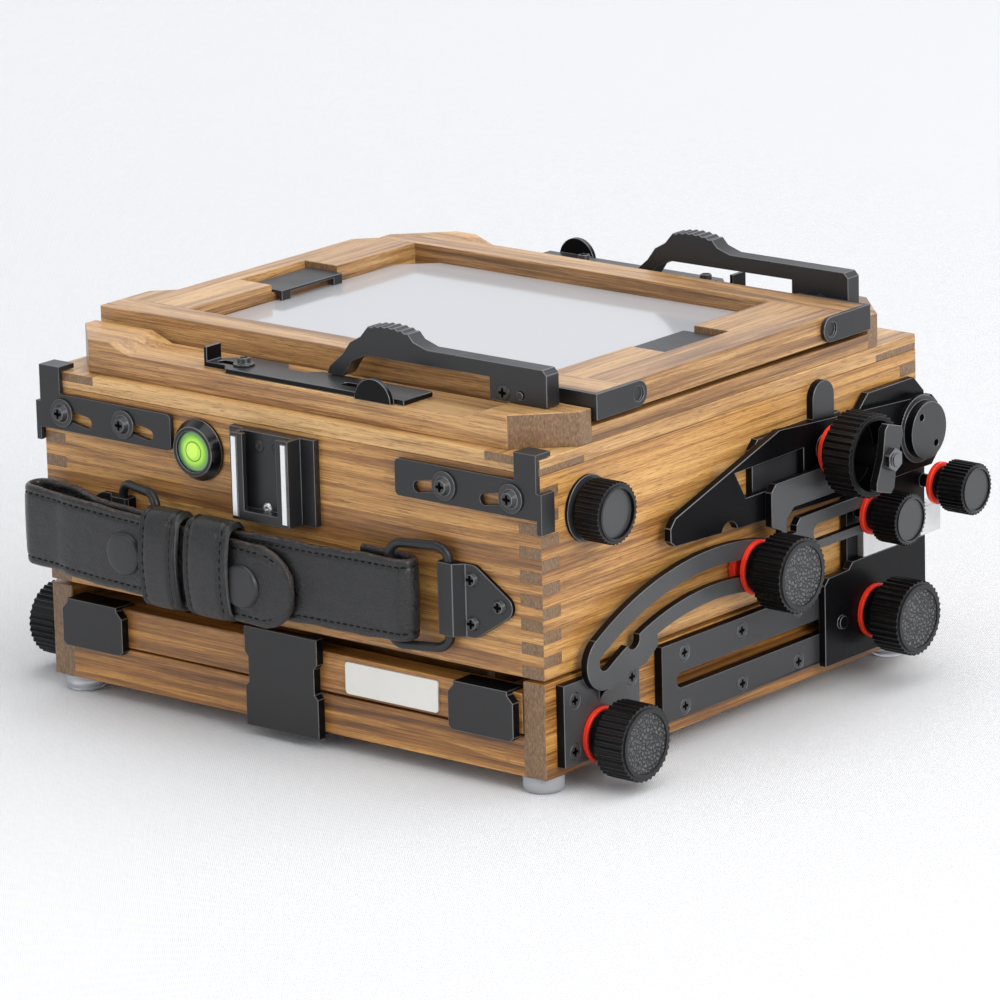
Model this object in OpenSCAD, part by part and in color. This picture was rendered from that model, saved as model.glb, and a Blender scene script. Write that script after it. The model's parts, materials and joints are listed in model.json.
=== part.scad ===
// Wooden folding field camera for sheet film, folded shut and lying on its bed.
// X runs along the strap face, Y from the strap face to the hinge end, Z up.
// The origin is the mouth of the tripod socket in the middle of the bed's underside.

/* [Box and bed] */
// Width of the box and of the bed
box_w = 190; // [170:1:220]
// Depth of the box and of the bed, from strap face to hinge end
box_d = 178.7; // [165:0.1:200]
// Height of the box's finger-jointed wall
box_h = 59.8; // [52:0.1:66]
// Thickness of the box wall
box_wall = 8; // [7:0.5:11]
// Height of the bed
bed_h = 28.4; // [27:0.1:32]
// Thickness of the bed's side and rear walls
bed_wall = 8; // [7:0.5:9]
// Height of the bed's lower front rail
bed_rail_h = 12; // [11:0.5:13]
// Thickness of the bed's floor board
floor_t = 5; // [4:0.5:6]
// Gap between the folded box and the bed
fold_gap = 1.2; // [0.9:0.1:2]
// Number of fingers in one corner joint
fingers = 17; // [9:2:21]
// Radius of a foot
foot_r = 6; // [5:0.5:6.2]
// Height of a foot
foot_h = 5; // [3:0.5:6]
// Distance of a foot's centre from the bed's edges
foot_inset = 6.3; // [6.3:0.1:16]

/* [Tripod socket] */
// Radius of the socket's thread
socket_r = 4.76; // [3.18:0.01:4.8]
// Depth of the socket
socket_l = 8; // [6:0.5:9]
// Radius of the tripod plate
tripod_plate_r = 24; // [18:1:30]

/* [Focusing track] */
// Thickness of the focusing track's board
track_t = 4; // [3:0.5:5]
// Width of the focusing track's board
track_w = 150; // [130:1:160]
// Length of the focusing track's board
track_l = 140; // [120:1:150]
// Thickness of the track's front board
front_board_t = 8; // [6:0.5:10]
// Distance of the focusing shaft from the strap face
shaft_inset = 20.85; // [18:0.05:24]
// Height of the focusing shaft
shaft_z = 9.5; // [9:0.1:10]
// Radius of the focusing shaft
shaft_r = 2; // [1.5:0.1:2.4]
// Number of teeth on a pinion
pinion_teeth = 14; // [12:1:16]
// Tooth module of the rack and the pinion
tooth_module = 0.5; // [0.4:0.05:0.55]
// Width of a rack
rack_w = 5; // [4:0.5:8]

/* [Slot plates] */
// Thickness of the bed's slot plates and stay bases
bed_plate_t = 3; // [2:0.1:3.4]
// Thickness of every other side plate
side_plate_t = 2.5; // [2:0.1:2.8]
// Height of a slot plate
slot_plate_h = 23.2; // [20:0.1:24]
// Width of the straight slot
slot_w = 4.6; // [4.1:0.1:5]
// Height of the straight slot's centre line
slot_z = 16.2; // [15:0.1:18]

/* [Stay] */
// Radius of the curved slot's centre line
stay_r = 102.75; // [95:0.25:110]
// Width of the curved slot
stay_slot_w = 5.1; // [4.1:0.1:6]
// Width of the stay's outer band
stay_outer_w = 5.7; // [4:0.1:7]
// Width of the stay's inner band
stay_inner_w = 4.7; // [3.5:0.1:6]
// Distance of the stay's lower end from the strap face
stay_end_inset = 20.8; // [20:0.1:24]
// Height of the stay's lower end
stay_end_z = 31.15; // [30:0.05:33]
// Distance of the stay's clamp from the strap face
stay_clamp_inset = 91.75; // [88:0.05:94]
// Height at which the stay's clamp rests
stay_clamp_z = 42.8; // [41:0.1:44]

/* [Rear standard] */
// Distance of the pivot from the hinge end
pivot_inset = 6.85; // [6:0.05:9]
// Height of the pivot above the bed
pivot_rise = 38.8; // [38:0.1:42]
// Length of the pointed arm, from pivot to tip
arm_l = 120; // [110:1:125]
// Travel of the rear carriage towards the strap face
carriage_travel = 26; // [15:1:27]
// Length of the carriage plate
carriage_l = 50.5; // [44:0.5:54]
// Height of the silver crossbar
crossbar_h = 8.8; // [7:0.1:9]
// Thickness of the silver crossbar behind the box
crossbar_t = 4; // [3:0.5:6]

/* [Knobs] */
// Radius of the focusing, stay and carriage knobs
knob_r = 11.4; // [9:0.1:12]
// Length of their knurled part
knob_l = 10; // [7:0.5:12]
// Radius of the cup knob
cup_r = 12.7; // [11:0.1:13.5]
// Length of the cup knob
cup_l = 14; // [11:0.5:16]
// Radius of the small lock knobs
small_knob_r = 8; // [6.5:0.1:8.4]
// Radius of the knob on the box's side
box_knob_r = 9.2; // [7:0.1:10]
// Number of knurls round a knob
knurls = 36; // [20:2:48]
// Depth of a knurl
knurl_d = 0.6; // [0.3:0.1:1]
// Radius of every knob's stud
stud_r = 2; // [1.5:0.1:2]
// Thickness of a red washer
washer_t = 1.5; // [1:0.1:1.8]

/* [Ground glass back] */
// Height of the back's lower frame
seat_frame_h = 4.8; // [4:0.1:7]
// Thickness of the back board beside the glass frame
back_t = 4.8; // [4:0.1:6]
// Height of the back board's front and rear rails
back_rail_t = 7.2; // [6.2:0.1:8]
// Height of the back board's raised corners
back_corner_t = 10.1; // [9:0.1:11]
// Depth of the glass frame, between the rails
glass_frame_d = 127; // [122:0.5:128]
// Height of the glass frame
glass_frame_t = 8.1; // [7:0.1:9]
// Light gap under the glass frame
back_gap = 1.3; // [1:0.1:2]
// Width of the picture opening
opening_w = 138; // [126:1:142]
// Depth of the picture opening
opening_d = 104; // [98:1:106]
// Thickness of the ground glass
glass_t = 2; // [1.5:0.1:3]
// Length of a bail lever
lever_l = 82; // [74:1:84]
// Width of a bail lever
lever_w = 5.6; // [4:0.1:6]
// Length of a slide clamp
clamp_l = 78; // [66:1:80]

/* [Strap face] */
// Width of the leather strap
strap_w = 24.5; // [20:0.5:25]
// Thickness of the leather strap
strap_t = 2.6; // [2:0.1:3]
// Height of the strap's centre above the bed's underside
strap_z = 48.5; // [46:0.5:50]
// Distance of each strap plate's sleeve from the middle
sleeve_x = 62.5; // [60:0.5:66]
// Radius of a D-ring's wire
ring_r = 1.4; // [1:0.1:1.6]
// Radius of the level's bezel
level_r = 9.3; // [8:0.1:11]
// Distance between the accessory shoe's lips
shoe_gap = 18.7; // [18:0.1:19.5]
// Length of the accessory shoe
shoe_l = 26; // [20:0.5:27]
// Length of a sliding latch
latch_l = 52; // [40:0.5:54]
// Travel of a sliding latch
latch_travel = 10; // [6:0.5:10.5]

/* [Front standard] */
// Side of the square lens board
board_w = 98; // [92:1:104]
// Thickness of the lens board
board_t = 3; // [2:0.5:4]
// Radius of the lens board's hole
board_hole_r = 20.8; // [16:0.1:24]
// Width of the front standard
standard_w = 124; // [116:1:130]
// Height of the front standard when it is raised
standard_h = 112; // [108:1:116]
// Thickness of the front standard
standard_t = 9; // [8:0.5:9]

/* [Hidden] */

// Clearances
slide_clear = 0.3;
pin_clear = 0.1;
layer_gap = 0.5;
eps = 0.01;

// Levels, from the bed's underside up
box_z = bed_h + fold_gap;
seam_z = box_z + box_h;
back_z = seam_z + seat_frame_h;
recess_z = back_z + back_t;
rail_z = back_z + back_rail_t;
corner_z = back_z + back_corner_t;
glass_frame_z = recess_z + back_gap;
glass_frame_top = glass_frame_z + glass_frame_t;
pivot_z = bed_h + pivot_rise;

// Faces of the box
side_x = box_w / 2;
front_y = -box_d / 2;
rear_y = box_d / 2;

// Layers of the side plates, counted outward from the box's side
mid_x = side_x + bed_plate_t;
mid_out = mid_x + side_plate_t;
outer_x = mid_out + layer_gap;
outer_out = outer_x + side_plate_t;

// Axes of the side's studs
pivot_y = rear_y - pivot_inset;
shaft_y = front_y + shaft_inset;
clamp_y = front_y + stay_clamp_inset;
end_y = front_y + stay_end_inset;
slide_knob_inset = 23;
slide_knob_y = pivot_y - slide_knob_inset;
guide_pin_gap = 16;
guide_pin_y = slide_knob_y - guide_pin_gap;
shift_knob_inset = 27.5;
shift_knob_drop = 19.45;
shift_knob_y = pivot_y - shift_knob_inset;
shift_knob_z = pivot_z - shift_knob_drop;
swing_knob_ahead = 6;
swing_knob_drop = 17.7;
swing_knob_y = pivot_y + swing_knob_ahead;
swing_knob_z = pivot_z - swing_knob_drop;
cup_inset = 46.5;
cup_rise = 4.3;
cup_y = pivot_y - cup_inset;
cup_z = pivot_z + cup_rise;
box_knob_inset = 20.35;
box_knob_drop = 13.4;
box_knob_y = front_y + box_knob_inset;
box_knob_z = seam_z - box_knob_drop;

// The stay's arc through its lower end and its clamp
chord = [clamp_y - end_y, stay_clamp_z - stay_end_z];
sag = sqrt(stay_r * stay_r - chord * chord / 4) / norm(chord);
stay_cy = (clamp_y + end_y) / 2 + sag * chord[1];
stay_cz = (stay_clamp_z + stay_end_z) / 2 - sag * chord[0];
stay_angle = atan2(stay_clamp_z - stay_cz, clamp_y - stay_cy);
stay_end_angle = atan2(stay_end_z - stay_cz, end_y - stay_cy);
stay_mid_angle = (stay_angle + stay_end_angle) / 2;
stay_root_angle = stay_angle - 5.5;
notch_angle = stay_end_angle - 7.5;
function stay_point(r, a) = [stay_cy + r * cos(a), stay_cz + r * sin(a)];

// Bed and tripod plate
bush_wall = 3.24;
tripod_plate_t = 3;
runner_in = 9;
runner_lip = 4;
runner_lip_t = 3;
groove_d = 5;
slot_plate_inset = [49.85, 3.35];
slot_plate_y = front_y + slot_plate_inset[0];
slot_plate_end = rear_y - slot_plate_inset[1];
slot_plate_z = 4.8;
slot_y0 = slot_plate_y + 9;
screw_r = 2.3;
screw_head_t = 1.2;
screw_edge = 4;
slot_screw_count = 5;
slot_screw_inset = [10.5, 6];
slot_screw_pitch = (slot_plate_end - slot_plate_y - slot_screw_inset[0] - slot_screw_inset[1])
    / (slot_screw_count - 1);
slot_screw_z = [slot_plate_z + screw_edge - 0.9, slot_plate_z + slot_plate_h - screw_edge];
slot_screws = [for (i = [0 : slot_screw_count - 1], z = slot_screw_z)
    [slot_plate_y + slot_screw_inset[0] + i * slot_screw_pitch, z]];

// Focusing track, its drive and its front plates
track_z = 14.8;
front_board_z = 12.6;
front_board_drop = 3.8;
front_board_top = bed_h - front_board_drop;
pitch_r = pinion_teeth * tooth_module / 2;
pitch = PI * tooth_module;
rack_x = 40;
rack_l = 120;
rack_z = shaft_z + pitch_r;
lead_teeth = 7;
focus_knob_x = mid_x + washer_t + pin_clear;
shaft_half = focus_knob_x + 12;
tab_t = 3;
tab_w = 24;
tab_drop = 2;
tab_corner = 1.2;
tab_fold_inset = 2.1;
tab_shoulder = 3.4;
tab_spans = [61.5, -88.5];
fold_t = 0.8;
catch_w = 28;
catch_x = -1.8;
catch_over = 0.2;
notch_z = 15.6;
notch_half = 5.2;
notch_in = 1.3;
catch_lip_t = 1.2;
name_plate_x = 21;
name_plate_w = 35;
name_plate_h = 9.7;

// Front standard, lying on the track
standard_y = front_y + 21.85;
standard_z = track_z + track_t + slide_clear + standard_t / 2;
standard_top = standard_z + standard_t / 2;
standard_pin_r = 1.9;
board_clip = [10, 2.5, 1.2];
board_y = standard_y - standard_t / 2 + standard_h / 2;

// Stay
stay_foot_inset = 4.85;
stay_foot_l = 34.5;
stay_foot_z = 3;
stay_foot_h = 24.5;
stay_foot_y = front_y + stay_foot_inset;
stay_foot_end = stay_foot_y + stay_foot_l;
stay_screws = [[stay_foot_y + screw_edge + 0.9, stay_foot_z + stay_foot_h - 5.4],
    [stay_foot_y + screw_edge + 0.6, stay_foot_z + screw_edge],
    [stay_foot_end - screw_edge + 0.5, stay_foot_z + stay_foot_h - 4.8]];
arc_step = 0.04;
notch_clear = 0.3;
joggle_l = 10;
joggle_drop = 4;
joggle_edge = 1;
band_drop = 8;
neck_w = 6;
step_w = 4.8;
step_corner = 2.3;
slot_arm_lo = 5.2;
slot_arm_hi = 6.4;
hook_t = 3.8;

// Washers, bores and studs of the lock knobs
collar_share = 0.66;
face_share = 0.78;
knob_lip = 0.5;
face_inset = 0.4;
small_inset = 0.6;
lock_washer_r = 8.2;
inner_washer_r = 7;
small_washer_r = 6.5;
collar_l = 5;
knob_bore_l = 13;
stud_in_knob = 12.5;
small_collar_l = 3.5;
small_rim_l = 9;
small_bore_l = 11.2;
small_stud = 10.8;

// Rear standard
carriage_z = slot_plate_z - 0.8;
upright_z = slot_plate_z + slot_plate_h + 1;
crossbar_z = bed_h + 5;
pivot_r = 4;
spacer_r = 4;
disc_r = 8.75;
disc_flange = 1.6;
disc_t = [1.4, 4.4];
spanner_hole = [3.6, 4.6];
arm_rise = 14;
arm_head = 10.5;
arm_drop = 12.7;
spacer_t = 3.2;
nut_r = 3.6;
nut_t = 2;
nut_stud = 0.8;
cup_washer_x = mid_out + spacer_t;
cup_knob_x = cup_washer_x + washer_t + pin_clear;
lever_x = cup_knob_x + cup_l + 2.7;
lock_lever_t = 2.5;
lever_tilt = -16;
cup_floor = 9;
cup_rim = 2.1;
cup_collar_l = 3.6;
hub_gap = 0.2;
guide_x = 31;
guide_lo = 13.5;
guide_hi = 8;
guide_end = 4.2;
tab_ahead = 4;
zero_r = 5.2;
zero_rise = 13.8;
box_flange = [0.6, 1.2];
box_stud_l = 9.8;
box_collar_l = 1.5;
box_rim_l = 8.5;
box_inset = 1.2;

// Fittings on the box
rise_travel = 8;
plate_t = 1.5;
level_x = -33;
level_z = seam_z - 10.9;
vial_r = level_r * 0.66;
bezel_h = 3.6;
shoe_x = -3.05;
shoe_side = 1.65;
shoe_depth = 8;
shoe_flange = 5.2;
shoe_base_t = 2.4;
shoe_lip = 3;
shoe_lip_t = 1.6;
shoe_slot_t = 2.2;
shoe_floor = 3;
strip_w = 2;
strip_t = 0.4;
strip_out = 0.15;
strap_plate_z = strap_z + 1;
plate_half = 10.8;
plate_corner = 4;
plate_corner_x = 8;
plate_tip_r = 3.6;
plate_tip_x = 19;
plate_screws = [[8, 6.5], [8, -6.5], [18, 0]];
sleeve_r = 2.1;
sleeve_front = 3.2;
sleeve_bevel = 0.8;
sleeve_flat = 2.8;
sleeve_back = 5.6;
ring_l = 18.5;
ring_swing = 16.3;
ring_rise = 2.85;
head_h = 1.1;
strap_in_y = front_y - plate_t - head_h - strap_t / 2 - 0.15;
loop_r = 3.25;
fold_r = 3.7;
strap_mid_y = strap_in_y - 2 * loop_r;
strap_out_y = strap_mid_y - strap_t - pin_clear;
strap_turn_x = 54.5;
tongue_x = 13.5;
keepers = [[-43.5, 15], [-26, 17]];
keeper_t = 1.6;
snaps = [[-51.3, 0], [-5.8, -2]];
snap_r = [6.5, 5.2];
latch_z = seam_z - 7.1;
latch_h = 11;
latch_screws = [side_x - 9, side_x - 33.5];
latch_slope = 10.5;
latch_slot_w = 3.4;
latch_hook_w = 8;
latch_hook_l = 5;
latch_tab_d = 6;
latch_tab_h = 12;
latch_tab_drop = 9.5;
latch_washer_r = 4.3;
latch_washer_t = 0.6;
latch_head_r = 2.8;

// Bellows and back
bellows_w = 160;
bellows_d = 150;
bellows_wall = 10;
bellows_pleats = 11;
pleat_t = 1.8;
back_inset = 4;
back_chamfer = 15;
rail_gap = 2.15;
rail_in_y = glass_frame_d / 2 + rail_gap;
rail_d = rear_y - back_inset - rail_in_y;
rail_step_x = 64;
rail_ramp = 8;
light_in = [5, 3];
ledge_out = 3;
ledge_in = [4, 2];
bracket_gap = 0.4;
bracket_lap = 6;
spring_t = 0.9;
spring_in = 3;
spring_out = 14;
spring_foot_l = 4;
spring_foot_t = 1.2;
ledge_t = 1.2;
spring_l = 28;
spring_z = glass_frame_top - 2.6;
bracket_l = 23;

// Bail levers and slide clamps
clamp_t = 1.6;
clamp_bulge = 1.5;
clamp_slot_w = 3.2;
hook_plate_t = 1.2;
hook_rise = 6;
thumb_r = 6.8;
clamp_travel = 8;
clamp_screws = [-24, 23.5];
clamp_w = rail_d - 6.7;
clamp_y0 = front_y + back_inset + slide_clear;
clamp_screw_y = clamp_y0 + 0.465 * clamp_w;
toe_z = rail_z + clamp_t + 0.4;
lever_end_inset = 9.3;
lever_end_x = side_x - lever_end_inset;
lever_pin_inset = 9.6;
lever_pin_x = lever_end_x - lever_pin_inset;
lever_low = corner_z + slide_clear;
lever_pin_z = lever_low + 2.4;
lever_pin_r = 1.2;
lever_out = 10.5;
lever_y = -glass_frame_d / 2 - lever_out;
lever_y_gap = -glass_frame_d / 2 - plate_t - lever_y - lever_w;

// Colours
walnut = [0.66, 0.47, 0.27];
dark_walnut = [0.45, 0.31, 0.18];
black_metal = [0.17, 0.17, 0.18];
red_ring = [0.85, 0.2, 0.12];
silver = [0.82, 0.82, 0.8];
leather = [0.12, 0.12, 0.13];
frosted = [0.85, 0.87, 0.9];

// A profile in the Y-Z plane, extruded along X from x0
module side_plate(x0, t) {
    translate([x0, 0, 0]) rotate([90, 0, 90]) linear_extrude(t) children();
}

// A profile in the X-Z plane, extruded towards the hinge end from y0
module front_plate(y0, t) {
    translate([0, y0 + t, 0]) rotate([90, 0, 0]) linear_extrude(t) children();
}

// A straight rod along X
module x_rod(r, x0, len, y, z) {
    translate([x0, y, z]) rotate([0, 90, 0]) cylinder(r = r, h = len, $fn = 48);
}

// The right side as drawn, or its mirror image on the left
module on_side(s) {
    mirror([s < 0 ? 1 : 0, 0, 0]) children();
}

// A slot with round ends, in a profile
module slot_2d(y0, y1, z, w) {
    translate([y0, z - w / 2]) square([y1 - y0, w]);
    for (y = [y0, y1]) translate([y, z]) circle(d = w, $fn = 32);
}

// A rectangle with round corners, in a profile
module round_rect(w, h, r) {
    for (x = [r, w - r], y = [r, h - r]) translate([x, y]) circle(r = r, $fn = 32);
    translate([r, 0]) square([w - 2 * r, h]);
    translate([0, r]) square([w, h - 2 * r]);
}

// Outline of a knurled edge: each knurl is a ridge and a valley
function knurl_points(r) = [for (i = [0 : 2 * knurls - 1])
    let (a = 180 * i / knurls, k = r - (i % 2) * knurl_d) [k * cos(a), k * sin(a)]];

// A knurled knob: collar, rim and inset face, from x0 outward, bored for its stud
module knob(r, collar, rim, x0, y, z, inset, bore_r, bore_l) {
    end = collar + rim + knob_lip;
    translate([x0, y, z]) rotate([0, 90, 0]) difference() {
        union() {
            cylinder(r = r * collar_share, h = collar + eps, $fn = 48);
            translate([0, 0, collar]) linear_extrude(rim) polygon(knurl_points(r));
            translate([0, 0, collar + rim - eps])
                cylinder(r = r - 2 * knurl_d, h = knob_lip + eps, $fn = 64);
        }
        translate([0, 0, end - inset]) cylinder(r = r * face_share, h = inset + 1, $fn = 64);
        translate([0, 0, -eps]) cylinder(r = bore_r, h = bore_l + eps, $fn = 48);
    }
}

// A cross-headed screw whose head is let into a side plate's outer face
module side_screw(x, y, z) {
    x_rod(screw_r, x - screw_head_t, screw_head_t, y, z);
}

// The pocket that a side screw sits in
module side_screw_hole(x, y, z) {
    x_rod(screw_r + pin_clear, x - screw_head_t - eps, screw_head_t + 1, y, z);
}

// Bed: side walls, rear wall, lower front rail, floor, and the runners of the focusing track
module bed_frame() {
    color(walnut) difference() {
        union() {
            difference() {
                translate([-side_x, front_y, 0]) cube([box_w, box_d, bed_h]);
                translate([-side_x + bed_wall, front_y - 1, floor_t])
                    cube([box_w - 2 * bed_wall, box_d - bed_wall + 1, bed_h]);
            }
            translate([-side_x + bed_wall, front_y, 0])
                cube([box_w - 2 * bed_wall, front_board_t, bed_rail_h]);
            for (s = [-1, 1]) on_side(s) bed_runner();
        }
        for (s = [-1, 1]) on_side(s) {
            side_plate(side_x - groove_d, groove_d + 1)
                slot_2d(slot_y0, slide_knob_y + 1, slot_z, slot_w + 2 * slide_clear);
            x_rod(shaft_r + pin_clear, track_w / 2 - 12, side_x, shaft_y, shaft_z);
        }
        translate([0, 0, -1]) {
            cylinder(r = tripod_plate_r + pin_clear, h = tripod_plate_t + 1, $fn = 64);
            cylinder(r = socket_r + bush_wall + pin_clear, h = floor_t + 2, $fn = 64);
        }
    }
}

// A runner under the track board's edge, with a lip over it
module bed_runner() {
    run_y = front_y + front_board_t + slide_clear;
    run_l = rear_y - bed_wall - run_y;
    run_x = track_w / 2 - runner_in;
    difference() {
        translate([run_x, run_y, floor_t - eps])
            cube([side_x - bed_wall - run_x + eps, run_l, track_z + track_t + runner_lip_t - floor_t]);
        translate([run_x - 1, run_y - 1, track_z - slide_clear])
            cube([runner_in + 1 + slide_clear, run_l + 2, track_t + 2 * slide_clear]);
        translate([run_x - 1, run_y - 1, track_z + track_t])
            cube([1 + runner_in - runner_lip, run_l + 2, 2 * runner_lip_t]);
    }
}

// Round plate in the bed's underside with the threaded bush for a tripod
module tripod_plate() {
    color(black_metal) difference() {
        union() {
            cylinder(r = tripod_plate_r, h = tripod_plate_t, $fn = 64);
            cylinder(r = socket_r + bush_wall, h = socket_l, $fn = 64);
        }
        translate([0, 0, -1]) cylinder(r = socket_r, h = socket_l + 2, $fn = 64);
    }
}

// Four clear rubber feet
module rubber_feet() {
    color(frosted) for (sx = [-1, 1], sy = [-1, 1])
        translate([sx * (side_x - foot_inset), sy * (rear_y - foot_inset), -foot_h])
            rotate_extrude($fn = 48)
                polygon([[0, 0], [foot_r - 1, 0], [foot_r, 1], [foot_r, foot_h], [0, foot_h]]);
}

// Slotted plates on the bed's sides that guide the rear carriage
module slot_plates() {
    color(black_metal) for (s = [-1, 1]) on_side(s) difference() {
        side_plate(side_x, bed_plate_t) difference() {
            translate([slot_plate_y, slot_plate_z])
                square([slot_plate_end - slot_plate_y, slot_plate_h]);
            slot_2d(slot_y0, slide_knob_y + 1, slot_z, slot_w);
        }
        for (p = slot_screws) side_screw_hole(mid_x, p[0], p[1]);
    }
}

// A sector of the stay's arc between two angles, in a profile
module stay_sector(a0, a1) {
    polygon([[stay_cy, stay_cz], stay_point(2 * stay_r, a0), stay_point(2 * stay_r, stay_mid_angle),
        stay_point(2 * stay_r, a1)]);
}

// A ring about the stay's centre between two radii, in a profile
module stay_ring(r0, r1) {
    translate([stay_cy, stay_cz]) difference() {
        circle(r = r1, $fn = 180);
        circle(r = r0, $fn = 180);
    }
}

// Profile of the stay's curved band, as far as its round lower end
module stay_band() {
    r0 = stay_r - stay_slot_w / 2 - stay_inner_w;
    r1 = stay_r + stay_slot_w / 2 + stay_outer_w;
    intersection() {
        stay_ring(r0, r1);
        stay_sector(stay_root_angle, stay_end_angle);
    }
    translate([end_y, stay_end_z]) circle(r = r1 - stay_r - arc_step, $fn = 64);
}

// Profile of the curved slot with its zero notch
module stay_slot() {
    half = stay_slot_w / 2;
    intersection() {
        stay_ring(stay_r - half, stay_r + half);
        stay_sector(stay_angle, stay_end_angle);
    }
    for (a = [stay_angle, stay_end_angle])
        translate(stay_point(stay_r, a)) circle(r = half - arc_step, $fn = 32);
    translate(stay_point(stay_r - half, notch_angle)) circle(r = half + notch_clear, $fn = 32);
}

// Profile of the stay's stepped rear part, with the straight slot of the shift lock
module stay_rear() {
    back_y = swing_knob_y - carriage_travel - stud_r - 1;
    top = cup_z - stud_r - 2.7;
    lo = shift_knob_z - slot_arm_lo;
    hi = shift_knob_z + slot_arm_hi;
    left = clamp_y + lock_washer_r + layer_gap;
    neck = left + step_corner;
    difference() {
        polygon([[left, stay_clamp_z - neck_w], [left, hi - 2], [left - step_w, hi],
            [left - step_w, top - step_corner], [left - step_w + step_corner, top], [cup_y + 8, top],
            [cup_y + 8, hi + hook_t], [left + neck_w, hi + hook_t], [neck, hi + 0.8], [neck, hi - 4],
            [neck + step_w, hi - 4], [neck + step_w, hi - 2], [neck + step_w + 2, hi], [back_y, hi],
            [back_y, lo], [left + 10, lo], [left + neck_w, stay_clamp_z - neck_w]]);
        slot_2d(shift_knob_y - carriage_travel, shift_knob_y, shift_knob_z, stay_slot_w);
    }
}

// Profile of the web between the band's lower end and its foot plate
module stay_web() {
    joggle_end = end_y + joggle_l;
    low = stay_end_z - band_drop + joggle_edge;
    polygon([[end_y, low - joggle_edge], [joggle_end, low], [joggle_end + 1, low + 1.6],
        [stay_foot_end, low + 2], [stay_foot_end + 6, stay_end_z - 0.6],
        [stay_foot_end + 5.5, stay_end_z + 3.6], [stay_foot_end - 6, stay_end_z + 4],
        [end_y + 3, stay_end_z - 2]]);
}

// Bend that carries the band out over the foot plate
module stay_joggle() {
    hull() {
        side_plate(mid_x, side_plate_t) 
            translate([end_y, stay_end_z - band_drop]) square([joggle_l, joggle_edge]);
        side_plate(side_x, bed_plate_t)
            translate([end_y, stay_end_z - band_drop - joggle_drop]) square([joggle_l, joggle_edge]);
    }
}

// Stay of one side: foot plate on the bed, joggle, curved slotted band and stepped rear part
module stay() {
    root_y = clamp_y + lock_washer_r + layer_gap;
    difference() {
        union() {
            side_plate(side_x, bed_plate_t)
                translate([stay_foot_y, stay_foot_z]) square([stay_foot_l, stay_foot_h]);
            side_plate(mid_x, side_plate_t) {
                stay_band();
                stay_web();
            }
            stay_joggle();
            side_plate(outer_x, side_plate_t) stay_rear();
            side_plate(mid_x, outer_x - mid_x + eps)
                translate([root_y, stay_clamp_z - 4.5]) square([4, 9.5]);
        }
        side_plate(mid_x - eps, side_plate_t + 1) stay_slot();
        x_rod(shaft_r + pin_clear, side_x - 1, bed_plate_t + 2, shaft_y, shaft_z);
        for (p = stay_screws) side_screw_hole(mid_x, p[0], p[1]);
    }
}

// Stay of the right side
module stay_right() {
    color(black_metal) stay();
}

// Stay of the left side
module stay_left() {
    color(black_metal) on_side(-1) stay();
}

// Screws that hold the side plates to the bed
module bed_screws() {
    color(black_metal) for (s = [-1, 1]) on_side(s)
        for (p = concat(slot_screws, stay_screws)) side_screw(mid_x, p[0], p[1]);
}

// Red washers under the focusing knobs
module focus_washers() {
    color(red_ring) for (s = [-1, 1]) on_side(s) difference() {
        x_rod(lock_washer_r, mid_x, washer_t, shaft_y, shaft_z);
        x_rod(shaft_r + pin_clear, mid_x - 1, washer_t + 2, shaft_y, shaft_z);
    }
}

// Focusing track: sliding board, front board and the lugs that carry the front standard
module track_board() {
    color(walnut) {
        translate([-track_w / 2, front_y + front_board_t - eps, track_z])
            cube([track_w, track_l, track_t]);
        translate([-side_x + bed_wall + slide_clear, front_y, front_board_z])
            cube([box_w - 2 * bed_wall - 2 * slide_clear, front_board_t, front_board_top - front_board_z]);
    }
    color(black_metal) for (s = [-1, 1]) on_side(s) {
        translate([standard_w / 2 + slide_clear, standard_y - 8, track_z + track_t - eps])
            cube([3, 16, standard_t + slide_clear]);
        x_rod(standard_pin_r, standard_w / 2 - 8, 8 + slide_clear + 1, standard_y, standard_z);
    }
}

// Outline of a tab: shoulders under the fold, small corners at the foot
module tab_outline() {
    h = front_board_top + fold_t - front_board_z + tab_drop;
    w = tab_w;
    c = tab_corner;
    f = tab_fold_inset;
    polygon([[0, c], [c, 0], [w - c, 0], [w, c], [w, h - tab_shoulder], [w - f, h - c], [w - f, h],
        [f, h], [f, h - c], [0, h - tab_shoulder]]);
}

// Outline of the catch plate, with a notch in each side
module catch_outline(z0) {
    w = catch_w / 2;
    lo = notch_z - notch_half;
    hi = notch_z + notch_half;
    in = w - notch_in;
    top = bed_h + catch_over;
    polygon([[-w, z0], [w, z0], [w, lo], [in, lo + notch_in], [in, hi - notch_in], [w, hi], [w, top],
        [-w, top], [-w, hi], [-in, hi - notch_in], [-in, lo + notch_in], [-w, lo]]);
}

// Tabs folded over the front board, and the notched catch plate with its lip under the bed
module track_tabs() {
    catch_low = -catch_lip_t - layer_gap;
    color(black_metal) {
        for (x = tab_spans) {
            front_plate(front_y - tab_t, tab_t) translate([x, front_board_z - tab_drop]) tab_outline();
            translate([x + tab_fold_inset, front_y - tab_t + eps, front_board_top])
                cube([tab_w - 2 * tab_fold_inset, front_board_t, fold_t]);
        }
        front_plate(front_y - tab_t, tab_t) translate([catch_x, 0]) catch_outline(catch_low);
        translate([catch_x - catch_w / 2 + 2, front_y - tab_t, catch_low])
            cube([catch_w - 4, 7 + tab_t, catch_lip_t]);
    }
}

// Bare name plate on the front board
module name_plate() {
    color(silver) front_plate(front_y - 0.8, 0.8) translate([name_plate_x, front_board_z + 1])
        round_rect(name_plate_w, name_plate_h, 1.2);
}

// Points of one rack tooth from its left root, the pitch line at height zero
function rack_tooth(i) = [for (q = [[0.29, 1.25], [0.41, -1], [0.59, -1], [0.71, 1.25]])
    [(i + q[0]) * pitch, q[1] * tooth_module]];

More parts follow.
